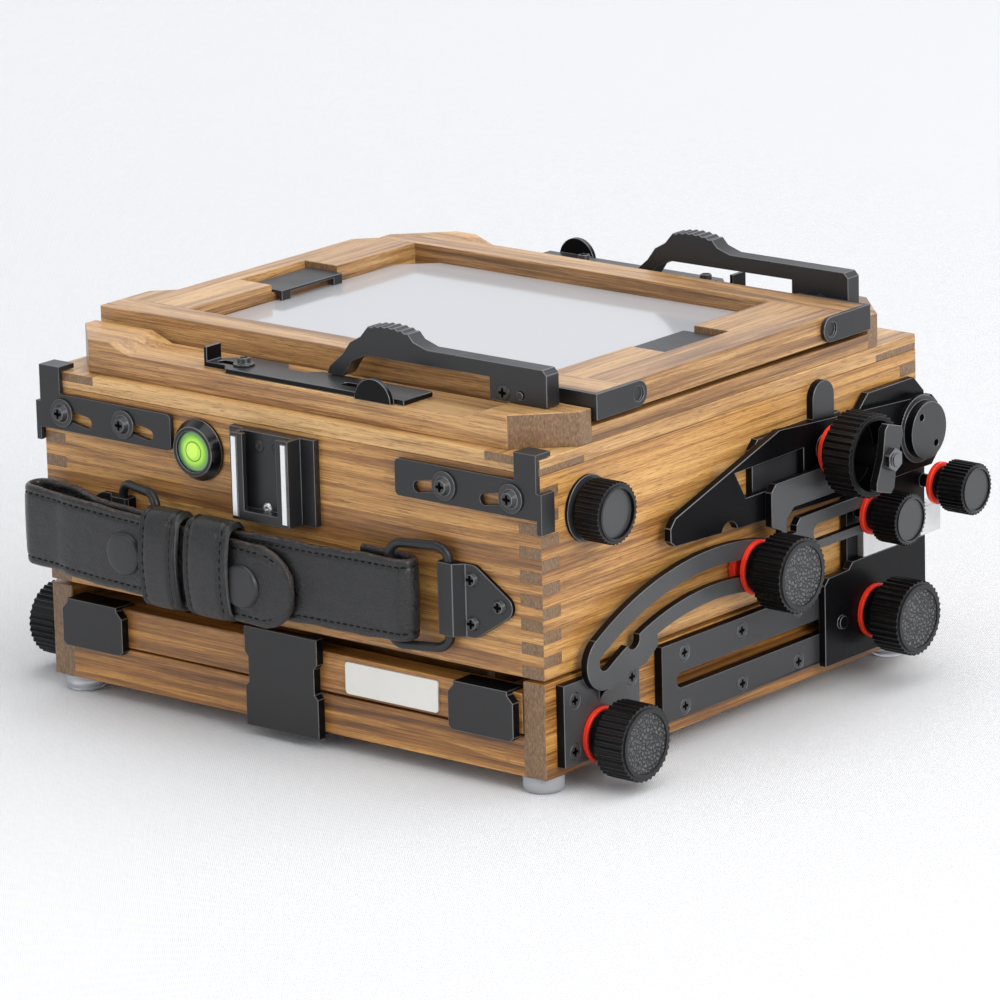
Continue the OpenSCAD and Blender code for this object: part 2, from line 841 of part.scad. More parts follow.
// Two racks under the track board, with a tooth above the pinions' top gap
module track_racks() {
    teeth = floor(rack_l / pitch);
    back = track_z - rack_z;
    color(silver) for (s = [-1, 1]) on_side(s) side_plate(rack_x, rack_w)
        translate([shaft_y - (lead_teeth + 0.5) * pitch, rack_z])
            polygon(concat([[0, back], [0, 1.25 * tooth_module]],
                [for (i = [0 : teeth - 1]) each rack_tooth(i)],
                [[teeth * pitch, 1.25 * tooth_module], [teeth * pitch, back]]));
}

// Outline of a pinion, a gap at its top; its teeth are thinned for backlash
function pinion_points() = [for (i = [0 : pinion_teeth - 1])
    each [for (q = [[-0.21, -1.2], [-0.1, 1], [0.1, 1], [0.21, -1.2]])
        let (a = 90 - (i + 0.5 + q[0]) * 360 / pinion_teeth, k = pitch_r + q[1] * tooth_module)
        [k * cos(a), k * sin(a)]]];

// Focusing shaft with its two pinions
module focus_shaft() {
    color(silver) {
        x_rod(shaft_r, -shaft_half, 2 * shaft_half, shaft_y, shaft_z);
        for (s = [-1, 1]) on_side(s) side_plate(rack_x - 1, rack_w + 2)
            translate([shaft_y, shaft_z]) polygon(pinion_points());
    }
}

// Focusing knobs, pressed on the shaft's ends
module focus_knobs() {
    color(black_metal) for (s = [-1, 1]) on_side(s)
        knob(knob_r, collar_l, knob_l, focus_knob_x, shaft_y, shaft_z, face_inset, shaft_r + eps,
            shaft_half - focus_knob_x + eps);
}

// Front standard, folded flat on the track: a frame with a recess for the lens board
module front_frame() {
    y1 = standard_y - standard_t / 2 + standard_h;
    window = board_w - 8;
    pocket = board_w + 2 * slide_clear;
    color(dark_walnut) difference() {
        union() {
            translate([-standard_w / 2, standard_y, standard_z - standard_t / 2])
                cube([standard_w, y1 - standard_y, standard_t]);
            x_rod(standard_t / 2, -standard_w / 2, standard_w, standard_y, standard_z);
        }
        translate([-pocket / 2, board_y - pocket / 2, standard_top - board_t])
            cube([pocket, pocket, board_t + 1]);
        translate([-window / 2, board_y - window / 2, 0]) cube([window, window, bed_h + 10]);
        for (s = [-1, 1]) on_side(s)
            x_rod(standard_pin_r + pin_clear, standard_w / 2 - 9, 10, standard_y, standard_z);
    }
    color(black_metal) for (s = [-1, 1])
        translate([s * (board_w / 2 - 4) - board_clip[0] / 2, board_y + board_w / 2 + layer_gap,
            standard_top - board_clip[2]]) cube(board_clip);
}

// Lens board with its shutter hole
module lens_board() {
    color(black_metal) difference() {
        translate([-board_w / 2, board_y - board_w / 2, standard_top - board_t])
            cube([board_w, board_w, board_t]);
        translate([0, board_y, 0]) cylinder(r = board_hole_r, h = bed_h + 10, $fn = 64);
    }
}

// Clamp stud of the stay with a red washer on each face of the slotted band
module stay_clamp() {
    washer_x = mid_out + pin_clear;
    color(red_ring) {
        x_rod(stud_r, side_x + layer_gap, washer_x + washer_t + stud_in_knob - side_x - layer_gap,
            clamp_y, stay_clamp_z);
        x_rod(inner_washer_r, side_x + layer_gap, bed_plate_t - layer_gap - pin_clear, clamp_y,
            stay_clamp_z);
        x_rod(lock_washer_r, washer_x, washer_t, clamp_y, stay_clamp_z);
    }
}

// Clamp stud of the right stay
module stay_clamp_right() {
    stay_clamp();
}

// Clamp stud of the left stay
module stay_clamp_left() {
    on_side(-1) stay_clamp();
}

// Knob that locks the stay
module stay_knob() {
    color(black_metal) knob(knob_r, collar_l, knob_l, mid_out + 2 * pin_clear + washer_t, clamp_y,
        stay_clamp_z, face_inset, stud_r + pin_clear, knob_bore_l);
}

// Stay knob of the right side
module stay_knob_right() {
    stay_knob();
}

// Stay knob of the left side
module stay_knob_left() {
    on_side(-1) stay_knob();
}

// Carriage plates over the slot plates, each with its lock stud and guide pin
module carriage_plates() {
    y0 = guide_pin_y - 8;
    stud_x = side_x - groove_d + 1;
    color(black_metal) for (s = [-1, 1]) on_side(s) {
        side_plate(mid_x, side_plate_t) polygon([[y0, carriage_z], [y0 + carriage_l, carriage_z],
            [y0 + carriage_l, crossbar_z], [y0 + 14, crossbar_z], [y0 + 12, crossbar_z - 2],
            [y0 + 2, crossbar_z - 2.4], [y0, crossbar_z - 4.4]]);
        x_rod(stud_r, stud_x, mid_out + washer_t + stud_in_knob - stud_x, slide_knob_y, slot_z);
        x_rod(stud_r, stud_x, mid_out + 1 - stud_x, guide_pin_y, slot_z);
    }
}

// Aluminium crossbar: an arm on each side and a bar behind the box
module rear_crossbar() {
    bar_y = rear_y + 2 * slide_clear;
    color(silver) {
        for (s = [-1, 1]) on_side(s) translate([mid_x, shift_knob_y, crossbar_z])
            cube([side_plate_t, bar_y - shift_knob_y + crossbar_t, crossbar_h]);
        translate([-mid_out + eps, bar_y, crossbar_z])
            cube([2 * mid_out - 2 * eps, crossbar_t, crossbar_h]);
    }
}

// Uprights behind the arms, with the pivot pins and the studs of the two upper locks
module rear_uprights() {
    y0 = shift_knob_y - 5;
    y1 = rear_y - eps;
    x0 = side_x + layer_gap;
    stud_x = outer_out + pin_clear + washer_t + small_stud;
    color(black_metal) for (s = [-1, 1]) on_side(s) {
        side_plate(x0, mid_x - x0) polygon([[y0, upright_z], [y1, upright_z], [y1, pivot_z + 10],
            [y1 - 5, pivot_z + 15], [y1 - 28, pivot_z + 15], [y0, pivot_z + 4.6]]);
        x_rod(pivot_r, x0, mid_out - x0, pivot_y, pivot_z);
        x_rod(stud_r, x0, stud_x - x0, shift_knob_y, shift_knob_z);
        x_rod(stud_r, x0, stud_x - x0, swing_knob_y, swing_knob_z);
    }
}

// Red washers of the carriage's lock knobs
module carriage_washers() {
    color(red_ring) for (s = [-1, 1]) on_side(s) {
        washer(lock_washer_r, mid_out, slide_knob_y, slot_z);
        washer(small_washer_r, outer_out + pin_clear, shift_knob_y, shift_knob_z);
        washer(small_washer_r, outer_out + pin_clear, swing_knob_y, swing_knob_z);
    }
}

// One washer round a stud
module washer(r, x, y, z) {
    difference() {
        x_rod(r, x, washer_t, y, z);
        x_rod(stud_r + pin_clear, x - 1, washer_t + 2, y, z);
    }
}

// Lock knob of the carriage
module slide_knob() {
    color(black_metal) knob(knob_r, collar_l, knob_l, mid_out + washer_t + pin_clear, slide_knob_y,
        slot_z, face_inset, stud_r + pin_clear, knob_bore_l);
}

// Carriage knob of the right side
module slide_knob_right() {
    slide_knob();
}

// Carriage knob of the left side
module slide_knob_left() {
    on_side(-1) slide_knob();
}

// Small lock knob with a plain inset cap
module small_knob(y, z) {
    color(black_metal) knob(small_knob_r, small_collar_l, small_rim_l,
        outer_out + washer_t + 2 * pin_clear, y, z, small_inset, stud_r + pin_clear, small_bore_l);
}

// Shift lock of the right side
module shift_knob_right() {
    small_knob(shift_knob_y, shift_knob_z);
}

// Shift lock of the left side
module shift_knob_left() {
    on_side(-1) small_knob(shift_knob_y, shift_knob_z);
}

// Swing lock of the right side
module swing_knob_right() {
    small_knob(swing_knob_y, swing_knob_z);
}

// Swing lock of the left side
module swing_knob_left() {
    on_side(-1) small_knob(swing_knob_y, swing_knob_z);
}

// Profile of the pointed arm, drawn from its pivot
module arm_outline() {
    cup = cup_y - pivot_y;
    translate([pivot_y, pivot_z]) difference() {
        polygon([[-arm_l, -8], [-arm_l, -4], [2.4 - arm_l, -1.3], [cup - 21.7, arm_rise], [7.5, 9],
            [arm_head, 6], [arm_head, -9.5], [7.3, -arm_drop], [cup + 9, -arm_drop], [cup - 41, -11],
            [2 - arm_l, -9.6]]);
        translate([cup - 46, -12]) circle(r = 4, $fn = 32);
        polygon([[cup - 43, 5.8], [cup - 38, -2.7], [cup - 10, -2.7], [cup - 10, 6.3]]);
    }
}

// Pointed arms with their pivot bores, and the cup knobs' spacers, studs and nuts
module arms() {
    stud_x = side_x + 1;
    nut_x = lever_x + lock_lever_t + pin_clear;
    color(black_metal) for (s = [-1, 1]) on_side(s) {
        difference() {
            side_plate(mid_x, side_plate_t) arm_outline();
            x_rod(pivot_r + pin_clear, mid_x - 1, side_plate_t + 2, pivot_y, pivot_z);
        }
        x_rod(spacer_r, mid_out - eps, cup_washer_x - mid_out + eps, cup_y, cup_z);
        x_rod(stud_r, stud_x, nut_x + nut_t + nut_stud - stud_x, cup_y, cup_z);
        translate([nut_x, cup_y, cup_z]) rotate([0, 90, 0]) cylinder(r = nut_r, h = nut_t, $fn = 6);
    }
}

// Red washers behind the cup knobs
module cup_washers() {
    color(red_ring) for (s = [-1, 1]) on_side(s) washer(cup_r - 5, cup_washer_x, cup_y, cup_z);
}

// Pivot caps of the arms, each with two spanner holes
module pivot_discs() {
    color(black_metal) for (s = [-1, 1]) on_side(s) difference() {
        union() {
            x_rod(disc_r + disc_flange, mid_out, disc_t[0], pivot_y, pivot_z);
            x_rod(disc_r, mid_out, disc_t[1], pivot_y, pivot_z);
        }
        for (k = [-1, 1])
            x_rod(1.1, mid_out + 2.4, 3, pivot_y + k * spanner_hole[0], pivot_z - k * spanner_hole[1]);
    }
}

// Cup knob: knurled rim, deep cup and a bore on the arm's stud
module cup_knob() {
    translate([cup_knob_x, cup_y, cup_z]) rotate([0, 90, 0]) color(black_metal) difference() {
        union() {
            cylinder(r = cup_r * 0.62, h = cup_collar_l, $fn = 64);
            translate([0, 0, cup_collar_l - eps])
                linear_extrude(cup_l - knob_lip - cup_collar_l + eps) polygon(knurl_points(cup_r));
            translate([0, 0, cup_l - knob_lip - eps])
                cylinder(r = cup_r - 1.6 * knurl_d, h = knob_lip + eps, $fn = 64);
        }
        translate([0, 0, cup_l - cup_floor]) cylinder(r = cup_r - cup_rim, h = cup_floor + 1, $fn = 64);
        translate([0, 0, -1]) cylinder(r = stud_r + pin_clear, h = cup_l, $fn = 48);
    }
}

// Cup knob of the right side
module cup_knob_right() {
    cup_knob();
}

// Cup knob of the left side
module cup_knob_left() {
    on_side(-1) cup_knob();
}

// Bow-tie lock lever in front of the cup knob, on a hub that reaches into the cup
module lock_lever() {
    hub_x = cup_knob_x + cup_l - cup_floor + hub_gap;
    color(black_metal) difference() {
        union() {
            x_rod(nut_r, hub_x, lever_x - hub_x + eps, cup_y, cup_z);
            side_plate(lever_x, lock_lever_t) translate([cup_y, cup_z]) rotate(lever_tilt)
                polygon([[-4, -10], [3.2, -10], [4.4, -8], [nut_r, 0], [4.6, 7.4], [3.4, 10], [-3.6, 10],
                    [-4.6, 8], [-nut_r, 0], [-4.6, -7.6]]);
        }
        x_rod(stud_r + pin_clear, cup_knob_x, 40, cup_y, cup_z);
    }
}

// Lock lever of the right side
module lock_lever_right() {
    lock_lever();
}

// Lock lever of the left side
module lock_lever_left() {
    on_side(-1) lock_lever();
}

// Corner fingers of one wall: every other level of the joint
module finger_levels(first) {
    finger_h = box_h / fingers;
    for (i = [first : 2 : fingers - 1]) translate([0, 0, box_z + i * finger_h]) children();
}

// Side walls of the box with the even fingers at their ends
module box_sides() {
    color(walnut) for (s = [-1, 1]) on_side(s) {
        translate([side_x - box_wall, front_y + box_wall, box_z])
            cube([box_wall, box_d - 2 * box_wall, box_h]);
        finger_levels(0) translate([side_x - box_wall, front_y, 0])
            cube([box_wall, box_d, box_h / fingers]);
    }
}

// Strap wall and hinge-end wall of the box with the odd fingers
module box_ends() {
    color(walnut) for (y = [front_y, rear_y - box_wall]) {
        translate([-side_x + box_wall, y, box_z]) cube([box_w - 2 * box_wall, box_wall, box_h]);
        finger_levels(1) translate([-side_x, y, 0]) cube([box_w, box_wall, box_h / fingers]);
    }
}

// Outline of a guide plate with its round zero tab, drawn from the cup knob's axis
module guide_outline() {
    y1 = rise_travel + guide_end;
    z1 = zero_rise;
    a = tab_ahead - zero_r;
    b = tab_ahead + zero_r;
    translate([cup_y, cup_z]) {
        polygon([[-guide_x, -guide_lo], [y1, -guide_lo], [y1, guide_hi], [b, guide_hi], [b, z1], [a, z1],
            [a, guide_hi], [3 - guide_x, guide_hi], [-guide_x, guide_hi - 3]]);
        translate([tab_ahead, z1]) circle(r = zero_r, $fn = 48);
    }
}

// Guide plates on the box's sides, and the side knob's flange and stud
module side_guides() {
    color(black_metal) for (s = [-1, 1]) on_side(s) {
        side_plate(side_x, side_plate_t) difference() {
            guide_outline();
            slot_2d(cup_y, cup_y + rise_travel, cup_z, slot_w);
        }
        x_rod(box_knob_r + box_flange[0], side_x, box_flange[1], box_knob_y, box_knob_z);
        x_rod(stud_r, side_x, box_stud_l, box_knob_y, box_knob_z);
    }
}

// Knob on the box's side, with a deep inset cap
module box_knob() {
    color(black_metal) knob(box_knob_r, box_collar_l, box_rim_l, side_x + box_flange[1] + pin_clear,
        box_knob_y, box_knob_z, box_inset, stud_r + pin_clear, box_stud_l - box_flange[1] + pin_clear);
}

// Side knob of the right side
module box_knob_right() {
    box_knob();
}

// Side knob of the left side
module box_knob_left() {
    on_side(-1) box_knob();
}

// Accessory shoe: base plate and a channel, open at the top, under two lips
module accessory_shoe() {
    z0 = seam_z - 1 - shoe_l;
    w = shoe_gap + 2 * shoe_side;
    y0 = front_y - shoe_depth;
    color(black_metal) difference() {
        union() {
            translate([shoe_x - w / 2 - shoe_flange, front_y - shoe_base_t, z0])
                cube([w + 2 * shoe_flange, shoe_base_t, shoe_l]);
            translate([shoe_x - w / 2, y0, z0]) cube([w, shoe_depth, shoe_l]);
        }
        translate([shoe_x - shoe_gap / 2, y0 + shoe_lip_t, z0 + shoe_floor])
            cube([shoe_gap, shoe_slot_t, shoe_l]);
        translate([shoe_x - shoe_gap / 2 + shoe_lip, y0 - 1, z0 + shoe_floor])
            cube([shoe_gap - 2 * shoe_lip, 1 + shoe_lip_t + shoe_slot_t, shoe_l]);
    }
    color(silver) for (s = [-1, 1])
        translate([shoe_x + s * (shoe_gap / 2 + strip_out) - strip_w / 2, y0 - strip_t, z0 + 1])
            cube([strip_w, strip_t + eps, shoe_l - 2]);
}

// Round spirit level: black conical bezel and its clear vial
module spirit_level() {
    translate([level_x, front_y, level_z]) rotate([90, 0, 0]) {
        color(black_metal) rotate_extrude($fn = 64) polygon([[vial_r, 0], [level_r, 0], [level_r, 1],
            [level_r * 0.8, bezel_h], [vial_r, bezel_h]]);
        color([0.75, 0.85, 0.1]) cylinder(r = vial_r, h = bezel_h - 1, $fn = 64);
    }
}

// Profile of a strap plate's folded sleeve, from above
module sleeve_outline() {
    polygon([[-sleeve_front, 0], [-sleeve_front, sleeve_bevel - 2 * sleeve_r],
        [sleeve_bevel - sleeve_front, -2 * sleeve_r], [sleeve_flat, -2 * sleeve_r],
        [sleeve_back, -plate_t], [sleeve_back, 0]]);
}

// One strap plate: rounded triangle and the folded sleeve for its ring
module strap_plate() {
    side_z = plate_half - plate_corner;
    difference() {
        union() {
            front_plate(front_y - plate_t, plate_t) translate([sleeve_x, strap_plate_z]) hull() {
                translate([-1, -plate_half]) square([2, 2 * plate_half]);
                for (z = [-side_z, side_z]) translate([plate_corner_x, z]) circle(r = plate_corner, $fn = 32);
                translate([plate_tip_x, 0]) circle(r = plate_tip_r, $fn = 32);
            }
            translate([sleeve_x, front_y, strap_plate_z - plate_half])
                linear_extrude(2 * plate_half) sleeve_outline();
        }
        translate([sleeve_x, front_y - sleeve_r, strap_plate_z - plate_half - 1])
            cylinder(r = ring_r + pin_clear, h = 2 * plate_half + 2, $fn = 32);
    }
}

// Strap plates of both sides
module strap_plates() {
    color(black_metal) for (s = [-1, 1]) on_side(s) strap_plate();
}

// A rectangular wire ring, its closed side in the sleeve and its free bar swung out
module strap_ring(swing) {
    half = strap_w / 2 + ring_rise;
    translate([sleeve_x, front_y - sleeve_r, strap_plate_z]) rotate([0, 0, swing]) {
        for (x = [0, -ring_l]) translate([x, 0, -half]) cylinder(r = ring_r, h = 2 * half, $fn = 32);
        for (z = [-half, half]) {
            translate([-ring_l, 0, z]) rotate([0, 90, 0]) cylinder(r = ring_r, h = ring_l, $fn = 32);
            for (x = [0, -ring_l]) translate([x, 0, z]) sphere(r = ring_r, $fn = 32);
        }
    }
}

// Rings of both sides; the left one lies flipped outward over its plate
module strap_rings() {
    color(black_metal) {
        strap_ring(ring_swing);
        mirror([1, 0, 0]) strap_ring(180 - ring_swing);
    }
}

// One edge of a ribbon laid along a path
function ribbon_side(p, d) = [for (i = [0 : len(p) - 1])
    let (t = p[min(i + 1, len(p) - 1)] - p[max(i - 1, 0)]) p[i] + d * [-t[1], t[0]] / norm(t)];

// Points of a round fold about a centre, from one angle to another
function fold(c, r, a0, a1) = [for (i = [0 : 8]) let (a = a0 + (a1 - a0) * i / 8) c + r * [cos(a), sin(a)]];

// The same points in the other order
function backwards(p) = [for (i = [len(p) - 1 : -1 : 0]) p[i]];

// Leather strap: from its loop on the right ring, round the left ring and back to its tongue
module leather_strap() {
    end_x = tongue_x - strap_w / 2;
    path = concat([[sleeve_x - ring_l - 12, strap_in_y]],
        fold([strap_turn_x - loop_r - strap_t / 2, strap_in_y - loop_r], loop_r, 90, -90),
        [[-30, strap_mid_y], [-sleeve_x, strap_mid_y + 0.6], [-sleeve_x - 8, strap_in_y - loop_r],
        [-sleeve_x - 14.5, strap_in_y - 0.8], [-sleeve_x - ring_l, strap_in_y]],
        fold([-sleeve_x - ring_l - 9.5, strap_in_y - fold_r], fold_r, 90, 270),
        [[-sleeve_x - 12, strap_out_y + 0.4], [-sleeve_x + 6, strap_out_y - 0.2], [-30, strap_out_y],
        [end_x, strap_out_y]]);
    color(leather) {
        translate([0, 0, strap_z - strap_w / 2]) linear_extrude(strap_w)
            polygon(concat(ribbon_side(path, strap_t / 2), backwards(ribbon_side(path, -strap_t / 2))));
        front_plate(strap_out_y - strap_t / 2, strap_t)
            translate([end_x, strap_z]) circle(r = strap_w / 2, $fn = 64);
        for (k = keepers)
            translate([k[0], strap_out_y - strap_t / 2 - keeper_t, strap_z - strap_w / 2 - keeper_t])
                cube([k[1], 2 * strap_t + pin_clear + 2 * keeper_t, strap_w + 2 * keeper_t]);
        for (s = snaps) translate([s[0], strap_out_y - strap_t / 2 + eps, strap_z + s[1]])
            rotate([90, 0, 0]) cylinder(r1 = snap_r[0], r2 = snap_r[1], h = keeper_t, $fn = 48);
    }
}

// Profile of a sliding latch, in X-Z, the corner at the right
module latch_outline() {
    difference() {
        union() {
            translate([side_x - latch_l, latch_z - latch_h / 2]) round_rect(latch_l, latch_h, 1.6);
            translate([side_x - latch_hook_w, latch_z])
                square([latch_hook_w, back_z + slide_clear + plate_t - latch_z]);
            translate([side_x - latch_hook_w, latch_z - latch_h / 2]) square([latch_hook_w, latch_h]);
        }
        for (x = latch_screws) translate([x, latch_z]) rotate(latch_slope)
            slot_2d(-latch_travel, 0, 0, latch_slot_w);
    }
}

// Sliding latch: slotted plate, upright with a hook over the back and a bent finger tab
module latch() {
    y0 = front_y - slide_clear - plate_t;
    front_plate(y0, plate_t) latch_outline();
    translate([side_x - latch_hook_w, y0, back_z + slide_clear])
        cube([latch_hook_w, slide_clear + plate_t + latch_hook_l, plate_t]);
    translate([side_x - eps, y0, latch_z - latch_tab_drop])
        cube([plate_t + slide_clear, plate_t, latch_tab_h]);
    translate([side_x + slide_clear, y0, latch_z - latch_tab_drop])
        cube([plate_t, latch_tab_d, latch_tab_h]);
}

// Latch of the right corner
module latch_right() {
    color(black_metal) latch();
}

// Latch of the left corner
module latch_left() {
    color(black_metal) on_side(-1) latch();
}

// Screws of the latches, the strap plates and the slide clamps
module box_screws() {
    color(black_metal) {
        for (s = [-1, 1]) on_side(s) {
            for (x = latch_screws) latch_screw(x);
            for (p = plate_screws) translate([sleeve_x + p[0], front_y - plate_t, strap_plate_z + p[1]])
                rotate([90, 0, 0]) cylinder(r1 = screw_r, r2 = screw_r * 0.72, h = head_h, $fn = 32);
        }
        for (a = [0, 180]) rotate(a) for (x = clamp_screws) translate([x, clamp_screw_y, 0]) {
            translate([0, 0, rail_z]) cylinder(r = 1.3, h = clamp_t + 1, $fn = 32);
            translate([0, 0, rail_z + clamp_t + pin_clear]) cylinder(r = 3.2, h = 0.6, $fn = 32);
            translate([0, 0, rail_z + clamp_t + pin_clear]) cylinder(r1 = 2.2, r2 = 1.7, h = 2.2, $fn = 32);
        }
    }
}

// A latch's screw on the strap face: shank through the slot, washer and round head
module latch_screw(x) {
    gap = slide_clear + plate_t + pin_clear;
    translate([x, front_y, latch_z]) rotate([90, 0, 0]) {
        cylinder(r = latch_slot_w / 2 - 0.4, h = gap + eps, $fn = 32);
        translate([0, 0, gap]) cylinder(r = latch_washer_r, h = latch_washer_t, $fn = 48);
        translate([0, 0, gap + latch_washer_t - eps])
            cylinder(r1 = latch_head_r, r2 = latch_head_r * 0.7, h = 2 * head_h - latch_washer_t, $fn = 32);
    }
}

// Bellows, folded flat under the back: pleats step in and out round the light path
module bellows() {
    color([0.08, 0.08, 0.09]) for (i = [0 : bellows_pleats - 1]) {
        inset = i % 2 == 0 ? 0 : 3;
        w = bellows_w - 2 * inset;
        d = bellows_d - 2 * inset;
        translate([0, 0, seam_z - (i + 1) * pleat_t]) difference() {
            translate([-w / 2, -d / 2, 0]) cube([w, d, pleat_t]);
            translate([-w / 2 + bellows_wall, -d / 2 + bellows_wall, -1])
                cube([w - 2 * bellows_wall, d - 2 * bellows_wall, pleat_t + 2]);
        }
    }
}

// Lower frame of the back, seated on the box
module seat_frame() {
    w = bellows_w - 2 * bellows_wall;
    d = bellows_d - 2 * bellows_wall;
    color(walnut) difference() {
        translate([-side_x, front_y, seam_z]) cube([box_w, box_d, seat_frame_h]);
        translate([-w / 2, -d / 2, seam_z - 1]) cube([w, d, seat_frame_h + 2]);
    }
}

// Outline of the back board: corners cut at 45 degrees
module back_outline() {
    x = side_x;
    y = rear_y - back_inset;
    c = back_chamfer;
    polygon([[-x, -y + c], [-x + c, -y], [x - c, -y], [x, -y + c],
        [x, y - c], [x - c, y], [-x + c, y], [-x, y - c]]);
}

// Back board: recess for the glass frame between two rails with raised corners
module back_board() {
    color(walnut) difference() {
        union() {
            translate([0, 0, back_z]) linear_extrude(back_t) back_outline();
            intersection() {
                translate([0, 0, back_z]) linear_extrude(back_corner_t + 1) back_outline();
                for (s = [-1, 1]) front_plate(s < 0 ? front_y : rail_in_y, rear_y - rail_in_y)
                    polygon([[-side_x, back_z], [side_x, back_z], [side_x, corner_z],
                        [rail_step_x + rail_ramp, corner_z], [rail_step_x, rail_z], [-rail_step_x, rail_z],
                        [-rail_step_x - rail_ramp, corner_z], [-side_x, corner_z]]);
            }
        }
        translate([-opening_w / 2 + light_in[0] + 1, -opening_d / 2 + light_in[1], back_z - 1])
            cube([opening_w - 2 * light_in[0] - 2, opening_d - 2 * light_in[1], back_t + 2]);
    }
}

// Outline of the glass frame: stepped left side and a cut far-left corner
module glass_outline() {
    y = glass_frame_d / 2;
    polygon([[-side_x, -y], [side_x, -y], [side_x, y], [-side_x + 24, y], [-side_x + 6, y - 18],
        [-side_x + 6, -y + 28], [-side_x, -y + 22]]);
}

// Glass frame: wood frame with a ledge for the glass and pockets for its springs
module glass_frame() {
    color(walnut) {
        difference() {
            translate([0, 0, glass_frame_z]) linear_extrude(glass_frame_t) glass_outline();
            translate([-opening_w / 2, -opening_d / 2, glass_frame_z + ledge_t])
                cube([opening_w, opening_d, glass_frame_t]);
            translate([-opening_w / 2 + light_in[0], -opening_d / 2 + light_in[1], glass_frame_z - 1])
                cube([opening_w - 2 * light_in[0], opening_d - 2 * light_in[1], glass_frame_t]);
            for (s = [-1, 1]) on_side(s) translate([opening_w / 2 - 1, -spring_l / 2 - 1, spring_z])
                cube([spring_out, spring_l + 2, 20]);
        }
        difference() {
            translate([-opening_w / 2 - ledge_out, -opening_d / 2 - ledge_out, recess_z + 0.05])
                cube([opening_w + 2 * ledge_out, opening_d + 2 * ledge_out, back_gap]);
            translate([-opening_w / 2 + ledge_in[0], -opening_d / 2 + ledge_in[1], recess_z - 1])
                cube([opening_w - 2 * ledge_in[0], opening_d - 2 * ledge_in[1], back_gap + 3]);
        }
    }
}

// Ground glass with clipped corners, on the frame's ledge
module ground_glass() {
    x = opening_w / 2 - slide_clear;
    y = opening_d / 2 - slide_clear;
    c = 10;
    color([0.9, 0.92, 0.94]) translate([0, 0, glass_frame_z + ledge_t]) linear_extrude(glass_t)
        polygon([[-x, -y + c], [-x + c, -y], [x - c, -y], [x, -y + c],
            [x, y - c], [x - c, y], [-x + c, y], [-x, y - c]]);
}

// Corner bracket of the glass frame, with its bail lever's pin
module corner_bracket() {
    y = -glass_frame_d / 2 - plate_t;
    z = glass_frame_z + bracket_gap;
    h = glass_frame_t - bracket_gap;
    end = y + bracket_l - h / 2;
    translate([lever_pin_x - bracket_lap, y, z]) cube([side_x - lever_pin_x + bracket_lap, plate_t, h]);
    difference() {
        union() {
            side_plate(side_x, plate_t) translate([y, z]) square([bracket_l - h / 2, h]);
            x_rod(h / 2, side_x, plate_t, end, z + h / 2);
        }
        x_rod(screw_r, side_x + plate_t / 2, 2, end, z + h / 2);
    }
    translate([lever_pin_x, y + eps, lever_pin_z]) rotate([90, 0, 0])
        cylinder(r = lever_pin_r, h = lever_y_gap + lever_w + bracket_lap / 10, $fn = 32);
}

// Leaf spring that holds the glass, on two feet
module glass_spring() {
    x = opening_w / 2 - spring_in;
    foot_z = glass_frame_z + ledge_t + glass_t;
    translate([x, -spring_l / 2, spring_z]) cube([spring_out, spring_l, spring_t]);
    for (y = [-spring_l / 2, spring_l / 2 - spring_foot_l]) translate([x, y, foot_z])
        cube([spring_foot_t, spring_foot_l, spring_z - foot_z + eps]);
}

// Corner brackets and springs of the glass frame
module glass_fittings() {
    color(black_metal) {
        for (s = [0, 1]) mirror([0, s, 0]) corner_bracket();
        for (s = [-1, 1]) on_side(s) glass_spring();
    }
}

// Profile of a bail lever: end block, straight arm, ridged hump and toe
module lever_profile() {
    x1 = lever_end_x;
    x0 = x1 - lever_l;
    low = lever_low;
    top = low + 10.9;
    arm_lo = top - 4.6;
    polygon(concat([[x1, low], [x1, top - 1.5], [x1 - 1.5, top], [x0 + 38, top], [x0 + 33, top + 1.6]],
        [for (i = [0 : 12]) let (x = x0 + 31 - i * 1.25)
            [x, top + 4.4 + (i % 2 == 0 ? 0.5 : 0) - 0.018 * pow(x - x0 - 23, 2)]],
        [[x0 + 13, top + 0.6], [x0 + 9, top - 1.6], [x0 + 6, top - 5.5], [x0 + 1, toe_z + 2.4],
        [x0, toe_z], [x0 + 6, toe_z], [x0 + 9.5, arm_lo - 2.6], [x0 + 15, arm_lo - 0.2], [x1 - 21, arm_lo],
        [x1 - 21, low]]));
}

// Bail lever of the front rail, bored for its pin
module lever_front() {
    color(black_metal) difference() {
        front_plate(lever_y, lever_w) lever_profile();
        translate([lever_pin_x, lever_y - 1, lever_pin_z]) rotate([-90, 0, 0])
            cylinder(r = lever_pin_r + pin_clear, h = lever_w + 2, $fn = 32);
    }
}

// Bail lever of the rear rail
module lever_rear() {
    mirror([0, 1, 0]) lever_front();
}

// Slide clamp: slotted plate with an upturned hook and a half-round thumb tab
module clamp() {
    x0 = clamp_screws[0] - 12;
    y0 = clamp_y0;
    w = clamp_w;
    translate([0, 0, rail_z]) linear_extrude(clamp_t) difference() {
        translate([x0, y0]) polygon([[0, w / 4], [7, w / 4], [10, 0], [clamp_l, 0], [clamp_l, w], [36, w],
            [33, w - 3], [26, w - 3], [22, w + clamp_bulge], [8, w + clamp_bulge], [0, w - 4]]);
        for (x = clamp_screws) slot_2d(x - clamp_travel, x, clamp_screw_y, clamp_slot_w);
    }
    translate([x0 - hook_plate_t, y0 + w / 4, rail_z]) cube([hook_plate_t + eps, w / 2, hook_rise]);
    intersection() {
        translate([clamp_screws[1] + 8, y0 + eps, rail_z]) rotate([90, 0, 0])
            cylinder(r = thumb_r, h = clamp_t, $fn = 48);
        translate([0, y0 - 5, rail_z]) cube([100, 10, 20]);
    }
}

